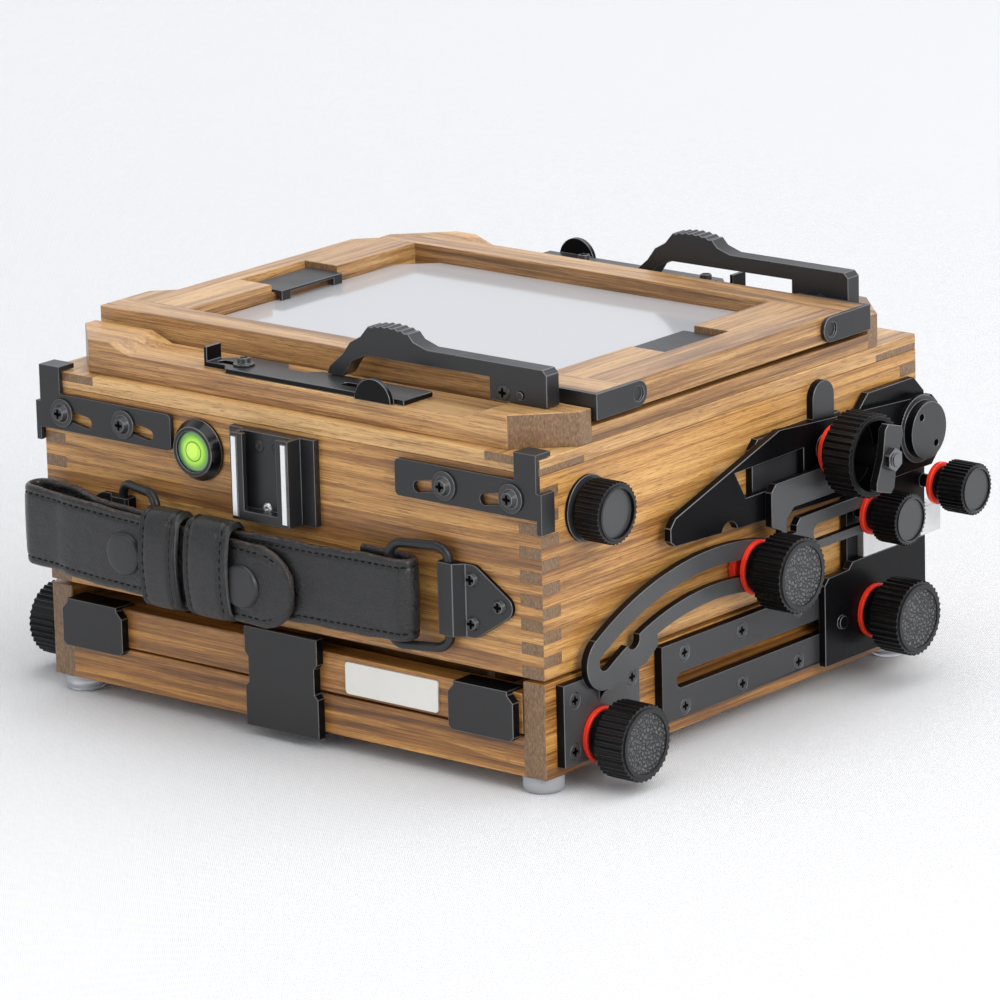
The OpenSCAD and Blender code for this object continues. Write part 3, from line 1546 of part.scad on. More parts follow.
// Slide clamp of the front rail
module clamp_front() {
    color(black_metal) clamp();
}

// Slide clamp of the rear rail, turned half round
module clamp_rear() {
    color(black_metal) rotate(180) clamp();
}

bed_frame();
tripod_plate();
rubber_feet();
slot_plates();
stay_right();
stay_left();
bed_screws();
focus_washers();
track_board();
track_tabs();
name_plate();
track_racks();
focus_shaft();
focus_knobs();
front_frame();
lens_board();
stay_clamp_right();
stay_clamp_left();
stay_knob_right();
stay_knob_left();
carriage_plates();
rear_crossbar();
rear_uprights();
carriage_washers();
slide_knob_right();
slide_knob_left();
shift_knob_right();
shift_knob_left();
swing_knob_right();
swing_knob_left();
arms();
cup_washers();
pivot_discs();
cup_knob_right();
cup_knob_left();
lock_lever_right();
lock_lever_left();
box_sides();
box_ends();
side_guides();
box_knob_right();
box_knob_left();
accessory_shoe();
spirit_level();
strap_plates();
strap_rings();
leather_strap();
latch_right();
latch_left();
box_screws();
bellows();
seat_frame();
back_board();
glass_frame();
ground_glass();
glass_fittings();
lever_front();
lever_rear();
clamp_front();
clamp_rear();
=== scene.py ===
# Looks of the folded wooden field camera: finishes, strap, bellows, level and the studio.
# New pieces are made in metres on the frame's axes; numbers in the dictionaries are millimetres.
import bmesh
import bpy
import json
import math
import numpy as np
from mathutils import Matrix, Vector


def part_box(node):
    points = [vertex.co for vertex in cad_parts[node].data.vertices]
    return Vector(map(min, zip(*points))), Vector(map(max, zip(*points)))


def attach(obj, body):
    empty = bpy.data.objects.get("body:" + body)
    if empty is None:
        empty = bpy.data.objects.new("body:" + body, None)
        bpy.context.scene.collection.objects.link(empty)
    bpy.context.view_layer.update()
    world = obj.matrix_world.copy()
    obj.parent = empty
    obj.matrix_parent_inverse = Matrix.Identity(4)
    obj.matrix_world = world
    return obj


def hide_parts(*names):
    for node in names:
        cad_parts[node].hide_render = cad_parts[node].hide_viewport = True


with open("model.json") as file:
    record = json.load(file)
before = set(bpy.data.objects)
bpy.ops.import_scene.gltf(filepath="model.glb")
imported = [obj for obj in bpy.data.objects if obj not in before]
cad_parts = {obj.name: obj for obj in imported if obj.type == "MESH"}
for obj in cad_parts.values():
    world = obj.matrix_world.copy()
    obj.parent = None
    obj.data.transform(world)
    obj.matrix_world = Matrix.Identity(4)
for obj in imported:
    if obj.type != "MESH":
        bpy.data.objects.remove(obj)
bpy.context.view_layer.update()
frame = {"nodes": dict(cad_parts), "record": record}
nodes = frame["nodes"]
bodyOf = {n: b for b, names in frame["record"]["behaviour"]["bodies"].items() for n in names}
mm = 0.001
scene = bpy.context.scene


# Linear colour of a screen colour
def tint(r, g, b):
    v = np.array([r, g, b]) / 255
    return (*np.where(v < 0.04045, v / 12.92, ((v + 0.055) / 1.055) ** 2.4).tolist(), 1.0)


# Meshes
# A mesh object from an array of points and arrays of faces with equal corner counts
def makeMesh(name, points, *faceSets, material=None, smooth=True):
    mesh = bpy.data.meshes.new(name)
    points = np.asarray(points, np.float32).reshape(-1, 3)
    counts = np.concatenate([np.full(len(f), f.shape[1]) for f in faceSets])
    corners = np.concatenate([f.ravel() for f in faceSets])
    mesh.vertices.add(len(points))
    mesh.vertices.foreach_set("co", points.ravel())
    mesh.loops.add(len(corners))
    mesh.loops.foreach_set("vertex_index", corners.astype(np.int32))
    mesh.polygons.add(len(counts))
    mesh.polygons.foreach_set("loop_start", np.concatenate([[0], np.cumsum(counts)[:-1]]).astype(np.int32))
    mesh.polygons.foreach_set("loop_total", counts.astype(np.int32))
    mesh.update(calc_edges=True)
    mesh.validate()
    mesh.polygons.foreach_set("use_smooth", np.full(len(mesh.polygons), smooth))
    if material:
        mesh.materials.append(material)
    piece = bpy.data.objects.new(name, mesh)
    scene.collection.objects.link(piece)
    return piece


# Quads between the points of a grid; a closed direction wraps round
def gridFaces(rows, columns, wrapRows=False, wrapColumns=False, start=0):
    lastRow, lastColumn = rows - (not wrapRows), columns - (not wrapColumns)
    i, j = np.meshgrid(np.arange(lastRow), np.arange(lastColumn), indexing="ij")
    i, j = i.ravel(), j.ravel()
    i1, j1 = (i + 1) % rows, (j + 1) % columns
    return start + np.stack([i * columns + j, i1 * columns + j, i1 * columns + j1, i * columns + j1], 1)


# Shared place numbers of the pieces of a mesh that hang together, by repeated lowest neighbour
def islands(count, triangles):
    label = np.arange(count)
    while True:
        low = label[triangles].min(1)
        new = label.copy()
        np.minimum.at(new, triangles.ravel(), np.repeat(low, 3))
        if np.array_equal(new, label):
            return np.unique(label, return_inverse=True)[1]
        label = new


# The points of a mesh, one a row
def readPoints(mesh):
    points = np.empty(len(mesh.vertices) * 3, np.float32)
    mesh.vertices.foreach_get("co", points)
    return points.reshape(-1, 3)


# Places in millimetres stored on the points of a mesh
def writePlace(piece, places):
    local = piece.data.attributes.new("place", "FLOAT_VECTOR", "POINT")
    local.data.foreach_set("vector", places.astype(np.float32).ravel())


# Finished nodes: points on a grid of 1 / grid metres are one, closer ones than weld metres join,
# and edges flatter than flat degrees go, while those over sharp degrees get the bevel
finish = {"grid": 1e7, "weld": 2e-5, "flat": 0.6, "sharp": 34}


# A merged copy of a CAD node that takes its place, with fine bevels
def finishNode(name, materials, bevel, segments=2, place=None):
    source = nodes[name].data
    points = readPoints(source)
    corners = np.empty(len(source.loops), np.int32)
    source.loops.foreach_get("vertex_index", corners)
    triangles = corners.reshape(-1, 3)
    first, back = np.unique(np.round(points * finish["grid"]).astype(np.int64), axis=0,
        return_index=True, return_inverse=True)[1:]
    points, triangles = points[first], back.ravel()[triangles]
    whole = (triangles[:, 0] != triangles[:, 1]) & (triangles[:, 1] != triangles[:, 2]) \
        & (triangles[:, 2] != triangles[:, 0])
    triangles = triangles[whole]
    piece = makeMesh(name + "Finish", points, triangles)
    if place:
        label = islands(len(points), triangles)
        low = np.full((label.max() + 1, 3), np.inf)
        high = -low
        np.minimum.at(low, label, points)
        np.maximum.at(high, label, points)
        writePlace(piece, place(points, (low + high)[label] / 2) * 1000)
    work = bmesh.new()
    work.from_mesh(piece.data)
    bmesh.ops.remove_doubles(work, verts=work.verts, dist=finish["weld"])
    flat = math.radians(finish["flat"])
    bmesh.ops.dissolve_limit(work, angle_limit=flat, verts=work.verts, edges=work.edges)
    work.to_mesh(piece.data)
    work.free()
    piece.data.set_sharp_from_angle(angle=math.radians(finish["sharp"]))
    for material in materials:
        piece.data.materials.append(material)
    edge = piece.modifiers.new("edges", "BEVEL")
    edge.width = bevel * mm
    edge.segments = segments
    edge.limit_method = "ANGLE"
    edge.angle_limit = math.radians(finish["sharp"])
    edge.use_clamp_overlap = False
    edge.harden_normals = True
    edge.material = len(materials) - 1
    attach(piece, bodyOf[name])
    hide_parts(name)


# A surface of revolution: profile of (radius, height) about an axis through a centre
def lathe(name, profile, centre, axis, material, steps=64):
    profile = np.asarray(profile, float)
    turn = np.linspace(0, 2 * np.pi, steps, endpoint=False)
    axis = np.asarray(axis, float)
    side = np.cross(axis, [0.31, 0.52, 0.8])
    side /= np.linalg.norm(side)
    other = np.cross(axis, side)
    ring = np.cos(turn)[:, None] * side + np.sin(turn)[:, None] * other
    points = np.asarray(centre) + profile[:, None, :1] * ring[None] + profile[:, None, 1:] * axis
    return makeMesh(name, points * mm, gridFaces(len(profile), steps, wrapColumns=True), material=material)


# Node trees
def put(tree, kind, wires=None, **settings):
    node = tree.nodes.new("ShaderNode" + kind)
    for key, value in settings.items():
        setattr(node, key, value)
    for key, value in (wires or {}).items():
        join(tree, value, node.inputs[key])
    return node


# A socket or a plain value into an input
def join(tree, value, target):
    if isinstance(value, bpy.types.NodeSocket):
        tree.links.new(value, target)
    else:
        target.default_value = value


def calc(tree, operation, *values):
    return put(tree, "Math", dict(enumerate(values)), operation=operation).outputs[0]


def times(tree, a, b):
    return calc(tree, "MULTIPLY", a, b)


# a b + c
def timesPlus(tree, a, b, c):
    return calc(tree, "MULTIPLY_ADD", a, b, c)


def vectorCalc(tree, operation, *values):
    return put(tree, "VectorMath", dict(enumerate(values)), operation=operation).outputs[0]


def blendColour(tree, share, a, b, mode="MIX"):
    return put(tree, "Mix", {0: share, 6: a, 7: b}, data_type="RGBA", blend_type=mode).outputs[2]


def noise(tree, vector, scale, detail=3.0, roughness=0.55):
    scaled = vectorCalc(tree, "MULTIPLY", vector, scale)
    wires = {"Vector": scaled, "Scale": 1.0, "Detail": detail, "Roughness": roughness}
    return put(tree, "TexNoise", wires).outputs


def blendValue(tree, share, a, b):
    return put(tree, "Mix", {0: share, 2: a, 3: b}, data_type="FLOAT").outputs[0]


def scaleBy(tree, vector, factor):
    return put(tree, "VectorMath", {0: vector, 3: factor}, operation="SCALE").outputs[0]


def lengthOf(tree, vector):
    return put(tree, "VectorMath", {0: vector}, operation="LENGTH").outputs["Value"]


# A vector in metres as millimetres
def millimetres(tree, vector):
    return vectorCalc(tree, "MULTIPLY", vector, (1000, 1000, 1000))


# 1 - value
def inverse(tree, value):
    return calc(tree, "SUBTRACT", 1.0, value)


# 0 below low, 1 above high, smooth between
def fade(tree, value, low, high):
    return put(tree, "MapRange", {0: value, 1: low, 2: high}, interpolation_type="SMOOTHSTEP").outputs[0]


def ramp(tree, value, stops):
    node = put(tree, "ValToRGB", {0: value})
    colours = node.color_ramp.elements
    for place, colour in stops[1:-1]:
        colours.new(place)
    for element, (place, colour) in zip(colours, stops):
        element.position = place
        element.color = colour
    return node.outputs[0]


def newGroup(name, inputs, outputs):
    group = bpy.data.node_groups.new(name, "ShaderNodeTree")
    for label, kind, value in inputs:
        socket = group.interface.new_socket(name=label, in_out="INPUT", socket_type="NodeSocket" + kind)
        if value is not None:
            socket.default_value = value
    for label, kind in outputs:
        group.interface.new_socket(name=label, in_out="OUTPUT", socket_type="NodeSocket" + kind)
    start = group.nodes.new("NodeGroupInput")
    end = group.nodes.new("NodeGroupOutput")
    return group, start.outputs, end.inputs


# A group with its outputs joined, in their order
def closeGroup(group, out, *values):
    for value, socket in zip(values, out):
        join(group, value, socket)
    return group


# Wood: noise frequencies a millimetre along, across and through the board
woodScale = {"warp": (0.006, 0.035, 0.035), "wobble": (0.012, 0.16, 0.16), "broad": (0.005, 0.07, 0.07),
    "fibre": (0.035, 2.4, 2.4), "streak": (0.012, 0.5, 0.5), "pores": (0.2, 4.2, 4.2),
    "speck": (2.2, 2.6, 0.9)}
woodRing = {"lean": 0.05, "squash": 0.33, "depth": 34.0, "pitch": 4.6, "wobble": 1.4, "warp": 16}
woodColours = {"face": [(0.08, tint(88, 60, 36)), (0.34, tint(146, 106, 64)), (0.56, tint(190, 150, 100)),
    (0.86, tint(220, 184, 132))], "end": [(0.3, tint(88, 64, 42)), (0.52, tint(122, 92, 62)),
    (0.8, tint(158, 126, 90))], "pore": tint(96, 66, 40), "cool": tint(250, 252, 255),
    "warm": tint(255, 232, 176)}


# Growth rings cut along the board, broad bands, fibres and pores; x runs along the grain
def woodGroup():
    group, given, out = newGroup("woodGrain",
        [("Vector", "Vector", None), ("Seed", "Float", 0.0), ("Warmth", "Float", 0.5),
            ("End Grain", "Float", 0.0), ("Tone", "Float", 0.05)],
        [("Color", "Color"), ("Roughness", "Float"), ("Height", "Float")])
    # the seed moves the pattern by (137, 7.3, 3.1) mm a unit
    seed = put(group, "CombineXYZ", {k: times(group, given["Seed"], shift)
        for k, shift in enumerate((137.0, 7.3, 3.1))}).outputs[0]
    place = vectorCalc(group, "ADD", millimetres(group, given["Vector"]), seed)
    warp = noise(group, place, woodScale["warp"], 2.0)[1]
    warp = vectorCalc(group, "SUBTRACT", warp, (0.5, 0.5, 0.5))
    warp = vectorCalc(group, "MULTIPLY", warp, (0, woodRing["warp"], woodRing["warp"]))
    bent = put(group, "SeparateXYZ", {0: vectorCalc(group, "ADD", place, warp)}).outputs
    # radius = root of (squash (y + lean x)^2 + (z + depth)^2), phase = fraction of radius / pitch + wobble
    across = timesPlus(group, bent[0], woodRing["lean"], bent[1])
    across = times(group, times(group, across, across), woodRing["squash"])
    deep = calc(group, "ADD", bent[2], woodRing["depth"])
    radius = calc(group, "SQRT", timesPlus(group, deep, deep, across))
    wobble = noise(group, place, woodScale["wobble"], 2.0)[0]
    turns = calc(group, "DIVIDE", radius, woodRing["pitch"])
    phase = calc(group, "FRACT", timesPlus(group, wobble, woodRing["wobble"], turns))
    lateEnd = inverse(group, fade(group, phase, 0.93, 1.0))
    rings = times(group, fade(group, phase, 0.25, 0.92), lateEnd)
    broad = noise(group, place, woodScale["broad"], 2.0)[0]
    fibre = noise(group, place, woodScale["fibre"], 4.0, 0.7)[0]
    streak = noise(group, place, woodScale["streak"], 3.0, 0.6)[0]
    pores = fade(group, noise(group, place, woodScale["pores"], 3.0, 0.6)[0], 0.54, 0.66)
    # tone = Tone + 0.9 broad - 0.15 rings + (fibre - 0.5) + 0.8 (streak - 0.5)
    tone = timesPlus(group, broad, 0.9, given["Tone"])
    tone = calc(group, "SUBTRACT", tone, times(group, rings, 0.15))
    tone = timesPlus(group, calc(group, "SUBTRACT", fibre, 0.5), 1.0, tone)
    tone = timesPlus(group, calc(group, "SUBTRACT", streak, 0.5), 0.8, tone)
    face = ramp(group, tone, woodColours["face"])
    face = blendColour(group, times(group, pores, 0.62), face, woodColours["pore"])
    warm = blendColour(group, given["Warmth"], woodColours["cool"], woodColours["warm"])
    face = blendColour(group, 1.0, face, warm, "MULTIPLY")
    end = ramp(group, noise(group, place, woodScale["speck"], 3.0, 0.6)[0], woodColours["end"])
    raised, sunk = times(group, fibre, 0.5), times(group, pores, 0.8)
    return closeGroup(group, out, blendColour(group, given["End Grain"], face, end),
        timesPlus(group, fibre, 0.22, 0.33), calc(group, "SUBTRACT", raised, sunk))


# Turns the grain's axis from X to Y where Turn is 1
def turnGroup():
    group, given, out = newGroup("grainTurn", [("Vector", "Vector", None), ("Turn", "Float", 0.0)],
        [("Vector", "Vector")])
    part = put(group, "SeparateXYZ", {0: given["Vector"]}).outputs
    turned = put(group, "CombineXYZ", {0: part[1], 1: part[0], 2: part[2]}).outputs[0]
    both = put(group, "Mix", {0: given["Turn"], 4: given["Vector"], 5: turned}, data_type="VECTOR").outputs[1]
    return closeGroup(group, out, both)


# Satin black anodising: faint clouds in the sheen, fine blasting, sparse dust
def satinGroup():
    group, given, out = newGroup("satinFilm",
        [("Vector", "Vector", None), ("Base", "Color", (0.03, 0.03, 0.032, 1)), ("Sheen", "Float", 0.4)],
        [("Color", "Color"), ("Roughness", "Float"), ("Height", "Float")])
    place = millimetres(group, given["Vector"])
    clouds = noise(group, place, (0.07, 0.07, 0.07), 4.0)[0]
    grain = noise(group, place, (5.0, 5.0, 5.0), 2.0)[0]
    dust = fade(group, noise(group, place, (1.1, 1.1, 1.1), 3.0, 0.7)[0], 0.73, 0.79)
    clouded = scaleBy(group, given["Base"], timesPlus(group, clouds, 0.7, 0.65))
    dusty = blendColour(group, times(group, dust, 0.3), clouded, (0.12, 0.12, 0.12, 1))
    rough = timesPlus(group, calc(group, "SUBTRACT", clouds, 0.5), 0.28, given["Sheen"])
    return closeGroup(group, out, dusty, timesPlus(group, dust, 0.2, rough), grain)


# Leather: creased cells with fine wrinkles; Cell is the size of a pebble in millimetres
def leatherGroup():
    group, given, out = newGroup("leatherGrain",
        [("Vector", "Vector", None), ("Cell", "Float", 0.8), ("Base", "Color", (0.008, 0.008, 0.009, 1)),
            ("Light", "Color", (0.02, 0.02, 0.022, 1))],
        [("Color", "Color"), ("Roughness", "Float"), ("Height", "Float")])
    place = millimetres(group, given["Vector"])
    bend = noise(group, place, (0.9, 0.9, 0.9), 2.0)[1]
    bent = vectorCalc(group, "ADD", place, vectorCalc(group, "MULTIPLY", bend, (0.7, 0.7, 0.7)))
    cellPlace = scaleBy(group, bent, calc(group, "DIVIDE", 1.0, given["Cell"]))
    cells = put(group, "TexVoronoi", {"Vector": cellPlace, "Scale": 1.0}, feature="DISTANCE_TO_EDGE")
    pebble = fade(group, cells.outputs["Distance"], 0.0, 0.28)
    creases = noise(group, place, (0.35, 0.35, 0.35), 4.0, 0.6)[0]
    # pebble tops take the Light colour and the creases between them the Base: painted shade in the creases
    light = blendColour(group, times(group, pebble, 0.5), given["Base"], given["Light"])
    rough = timesPlus(group, pebble, -0.1, 0.42)
    return closeGroup(group, out, light, timesPlus(group, creases, 0.25, rough),
        timesPlus(group, creases, 0.6, pebble))


# Mask of a Phillips cross about the middle of a screw's head, place in millimetres
def crossGroup():
    group, given, out = newGroup("crossRecess", [("Place", "Vector", None), ("Reach", "Float", 1.5)],
        [("Mask", "Float"), ("Height", "Float")])
    part = put(group, "SeparateXYZ", {0: given["Place"]}).outputs
    u, v = (calc(group, "ABSOLUTE", part[k]) for k in (0, 1))
    # an arm narrows outward: half width = 0.55 - 0.16 distance, with soft ends at Reach
    def arm(length, width):
        limit = timesPlus(group, length, -0.16, 0.55)
        inWidth = fade(group, calc(group, "SUBTRACT", limit, width), -0.06, 0.06)
        inReach = fade(group, calc(group, "SUBTRACT", given["Reach"], length), -0.06, 0.06)
        return times(group, inWidth, inReach)
    mask = calc(group, "MAXIMUM", arm(u, v), arm(v, u))
    return closeGroup(group, out, mask, inverse(group, mask))


groups = {make.__name__: make() for make in (woodGroup, turnGroup, satinGroup, leatherGroup, crossGroup)}
print("stage groups", len(groups))


def useGroup(tree, name, wires):
    node = tree.nodes.new("ShaderNodeGroup")
    node.node_tree = groups[name]
    for key, value in wires.items():
        join(tree, value, node.inputs[key])
    return node.outputs


# A material with its tree, shader and object coordinates
def newMaterial(name, **values):
    material = bpy.data.materials.new(name)
    material.use_nodes = True
    tree = material.node_tree
    shader = tree.nodes["Principled BSDF"]
    for key, value in values.items():
        shader.inputs[key.replace("_", " ")].default_value = value
    coords = tree.nodes.new("ShaderNodeTexCoord")
    return material, tree, shader, coords.outputs


# Colour, roughness and a bump into the shader; a colour of None keeps the shader's own
def dress(tree, shader, colour, roughness, height, strength, distance):
    if colour is not None:
        join(tree, colour, shader.inputs["Base Color"])
    join(tree, roughness, shader.inputs["Roughness"])
    bump = put(tree, "Bump", {"Strength": strength, "Distance": distance, "Height": height})
    join(tree, bump.outputs[0], shader.inputs["Normal"])


def absolutePart(tree, vector, k):
    return calc(tree, "ABSOLUTE", put(tree, "SeparateXYZ", {0: vector}).outputs[k])


# Wood of one node: turnRule gives 1 where the grain runs along Y
def woodMaterial(name, seed, turnRule, warmth=0.5, tone=0.05):
    material, tree, shader, coords = newMaterial(name, Coat_Weight=0.35, Coat_Roughness=0.28)
    place = put(tree, "SeparateXYZ", {0: coords["Object"]}).outputs
    turn = turnRule(tree, place) if callable(turnRule) else turnRule
    facing = [calc(tree, "GREATER_THAN", absolutePart(tree, coords["Normal"], k), 0.6) for k in (0, 1)]
    end = blendValue(tree, turn, *facing)
    along = useGroup(tree, "turnGroup", {"Vector": coords["Object"], "Turn": turn})["Vector"]
    grain = useGroup(tree, "woodGroup", {"Vector": along, "Seed": seed, "Warmth": warmth, "End Grain": end,
        "Tone": tone})
    dress(tree, shader, grain["Color"], grain["Roughness"], grain["Height"], 0.25, 0.0002)
    return material


# Rules of a place: 1 where the distance from the middle plane is over, or under, the limit
def beyond(k, limit, test="GREATER_THAN"):
    return lambda tree, place: calc(tree, test, calc(tree, "ABSOLUTE", place[k]), limit * mm)


def within(k, limit):
    return beyond(k, limit, "LESS_THAN")


# Half-lapped corners: side rails run through above the lap, front and rear rails below it
lap = {"sideX": 75, "frontY": 69.35, "height": 91.6}


def lapped(tree, place):
    side = beyond(0, lap["sideX"])(tree, place)
    corner = times(tree, side, beyond(1, lap["frontY"])(tree, place))
    above = calc(tree, "GREATER_THAN", place[2], lap["height"] * mm)
    return blendValue(tree, corner, side, above)


wood = {
    "box_sides": woodMaterial("walnutSides", 1.7, 1.0, 0.8, 0.1),
    "box_ends": woodMaterial("walnutEnds", 4.2, 0.0, 0.75, 0.04),
    "bed_frame": woodMaterial("walnutBed", 7.9, beyond(0, 86.9), 1.0, 0.02),
    "seat_frame": woodMaterial("walnutSeat", 11.3, lapped, 0.4, 0.16),
    "back_board": woodMaterial("walnutBoard", 15.1, within(1, 65.6), 0.4, 0.04),
    "glass_frame": woodMaterial("walnutGlassFrame", 19.6, within(1, 51.9), 0.3, 0.06),
    "track_board": woodMaterial("walnutTrack", 23.4, within(1, 81.2), 1.0, 0.0),
    "front_frame": woodMaterial("walnutStandard", 27.2, beyond(0, 49), 0.9, -0.1),
}
print("stage wood", len(wood))


# Outputs of the satin film on object coordinates
def satinFilm(tree, coords, base, sheen):
    return useGroup(tree, "satinGroup", {"Vector": coords["Object"], "Base": base, "Sheen": sheen})


# Satin metal; with a face axis, the walls cut across it are darker than the faces
def metalMaterial(name, base, sheen=0.4, metallic=0.0, bump=0.12, axis=None, **values):
    material, tree, shader, coords = newMaterial(name, Metallic=metallic, **values)
    film = satinFilm(tree, coords, base, sheen)
    colour = film["Color"]
    if axis is not None:
        wall = inverse(tree, fade(tree, absolutePart(tree, coords["Normal"], axis), 0.5, 0.85))
        colour = blendColour(tree, wall, film["Color"], (0.003, 0.003, 0.0035, 1))
        join(tree, timesPlus(tree, wall, -0.36, 0.5), shader.inputs["Specular IOR Level"])
    dress(tree, shader, colour, film["Roughness"], film["Height"], bump, 0.00004)
    return material


blackMetal = metalMaterial("blackAnodised", (0.014, 0.014, 0.015, 1), 0.38)
blackSide, blackFront, blackTop = (metalMaterial("black" + part, (base, base, base * 1.04, 1), 0.36, axis=k)
    for k, (part, base) in enumerate((("Side", 0.028), ("Front", 0.015), ("Top", 0.026))))
staySatin = metalMaterial("staySatin", (0.05, 0.05, 0.051, 1), 0.34, axis=0)
# Near black with a weak reflection: the cup knobs' own black, and on carriage plates and rear uprights
# painted shade from the knobs in front of them
deepBlackAndShade = metalMaterial("blackDeepAndShade", (0.003, 0.003, 0.0035, 1), 0.3, IOR=1.25)
# Bevel faces of the black parts: a lighter grey metal, a painted highlight along every edge
edgeHighlight = metalMaterial("edgeHighlight", (0.17, 0.17, 0.175, 1), 0.3, 0.7, 0.02)
knobEdge = metalMaterial("knobEdge", (0.012, 0.012, 0.0125, 1), 0.26, 0.0, 0.02, IOR=1.4)
bezelBlack = metalMaterial("bezelBlack", (0.004, 0.004, 0.005, 1), 0.16, IOR=1.5)
redMetal = metalMaterial("redAnodised", tint(252, 58, 34), 0.3, 0.0, 0.05)
silverMetal = metalMaterial("silverBrushed", (0.72, 0.72, 0.71, 1), 0.36, 0.85, 0.2)
brightSteel = metalMaterial("brightSteel", (0.62, 0.62, 0.62, 1), 0.26, 0.95, 0.02)


# Screws: black heads with a cross recess about their own middle
def screwMaterial(name, base, reach):
    material, tree, shader, coords = newMaterial(name)
    film = satinFilm(tree, coords, base, 0.36)
    place = put(tree, "Attribute", attribute_name="place").outputs["Vector"]
    cross = useGroup(tree, "crossGroup", {"Place": place, "Reach": reach})
    # the cross recess is painted near black and reflects little: painted shade inside the recess
    sunk = blendColour(tree, cross["Mask"], film["Color"], (0.001, 0.001, 0.001, 1))
    join(tree, timesPlus(tree, cross["Mask"], -0.48, 0.5), shader.inputs["Specular IOR Level"])
    dress(tree, shader, sunk, film["Roughness"], cross["Height"], 0.9, 0.0005)
    return material


# Knobs: knurled black body and an inset face, pebbled or plain, inside a radius in millimetres
def knobMaterial(name, insetRadius, pebbled):
    material, tree, shader, coords = newMaterial(name)
    film = satinFilm(tree, coords, (0.003, 0.003, 0.0035, 1), 0.3)
    place = put(tree, "Attribute", attribute_name="place").outputs["Vector"]
    radius = lengthOf(tree, place)
    facing = calc(tree, "GREATER_THAN", absolutePart(tree, coords["Normal"], 0), 0.9)
    face = times(tree, calc(tree, "LESS_THAN", radius, insetRadius), facing)
    hide = useGroup(tree, "leatherGroup", {"Vector": coords["Object"], "Cell": 1.3,
        "Base": (0.012, 0.012, 0.013, 1), "Light": (0.17, 0.17, 0.175, 1)})
    inset = hide["Color"] if pebbled else (0.045, 0.045, 0.047, 1)
    join(tree, timesPlus(tree, facing, 0.32, 0.18), shader.inputs["Specular IOR Level"])
    height = times(tree, face, hide["Height"]) if pebbled else film["Height"]
    bump = (0.9, 0.0004) if pebbled else (0.1, 0.00004)
    dress(tree, shader, blendColour(tree, face, film["Color"], inset), film["Roughness"], height, *bump)
    return material


sideScrews = screwMaterial("sideScrewBlack", (0.045, 0.045, 0.046, 1), 1.3)
backScrewBlack = screwMaterial("backScrewBlack", (0.03, 0.03, 0.031, 1), 1.4)
boxScrews = screwMaterial("boxScrewBlack", (0.03, 0.03, 0.031, 1), 1.4)
pebbledKnob = knobMaterial("pebbledKnob", 8.86, True)
plainKnob = knobMaterial("plainKnob", 7.1, False)


# Leather of the strap; rim is 1 on the cut edge, where the raw layers show brown
def strapLeather():
    material, tree, shader, coords = newMaterial("strapLeather", Coat_Weight=0.35, Coat_Roughness=0.24)
    hide = useGroup(tree, "leatherGroup", {"Vector": coords["Object"], "Cell": 0.62,
        "Base": (0.004, 0.004, 0.0045, 1), "Light": (0.009, 0.009, 0.0102, 1)})
    rim = put(tree, "Attribute", attribute_name="rim").outputs["Fac"]
    place = millimetres(tree, coords["Object"])
    fray = noise(tree, place, (0.5, 2.5, 2.5), 4.0, 0.7)[0]
    raw = times(tree, fade(tree, rim, 0.93, 0.985), fade(tree, fray, 0.42, 0.6))
    colour = blendColour(tree, raw, hide["Color"], (0.085, 0.055, 0.04, 1))
    waves = noise(tree, place, (0.09, 0.09, 0.14), 3.0, 0.5)[0]
    # height = pebbles - 2 frayed rim + 14 waves
    height = timesPlus(tree, times(tree, raw, fray), -2.0, hide["Height"])
    height = timesPlus(tree, waves, 14.0, height)
    dress(tree, shader, colour, calc(tree, "SUBTRACT", hide["Roughness"], 0.12), height, 0.6, 0.00018)
    return material


leather = strapLeather()
thread = newMaterial("blackThread", Base_Color=(0.002, 0.002, 0.0022, 1), Roughness=0.6, IOR=1.3)[0]
snapCap = metalMaterial("snapCap", (0.024, 0.024, 0.026, 1), 0.34, 0.0, 0.05)


# One noise in a matt face: roughness = base + gain noise; bump is strength and distance
def mattMaterial(name, scale, detail, gain, base, bump, **values):
    material, tree, shader, coords = newMaterial(name, **values)
    frost = noise(tree, millimetres(tree, coords["Object"]), (scale, scale, scale), detail)[0]
    dress(tree, shader, None, timesPlus(tree, frost, gain, base), frost, *bump)
    return material


# Opaque ground glass under a gloss, clear silicone of the feet, cloth of the bellows
groundGlass = mattMaterial("groundGlass", 6.0, 2.0, 0.15, 0.42, (0.1, 0.00003),
    Base_Color=(0.41, 0.41, 0.424, 1), Coat_Weight=1.0, Coat_Roughness=0.1)
silicone = mattMaterial("footSilicone", 0.8, 3.0, 0.3, 0.2, (0.1, 0.0001),
    Base_Color=(0.86, 0.88, 0.92, 1), Transmission_Weight=0.65, IOR=1.4)
bellowsCloth = mattMaterial("bellowsCloth", 3.0, 3.0, 0.2, 0.6, (0.3, 0.0001),
    Base_Color=(0.012, 0.012, 0.013, 1))


# Satin film with a second colour where the rule says 1: metallic = shine rule, roughness = film - drop rule
def inlaidMaterial(name, base, rule, second, shine, drop, **values):
    material, tree, shader, coords = newMaterial(name, **values)
    film = satinFilm(tree, coords, base, 0.34)
    inlay = rule(tree, put(tree, "SeparateXYZ", {0: coords["Object"]}).outputs)
    colour = blendColour(tree, inlay, film["Color"], second)
    join(tree, times(tree, inlay, shine), shader.inputs["Metallic"])
    roughness = timesPlus(tree, inlay, -drop, film["Roughness"])
    dress(tree, shader, colour, roughness, film["Height"], 0.1, 0.00004)
    return material


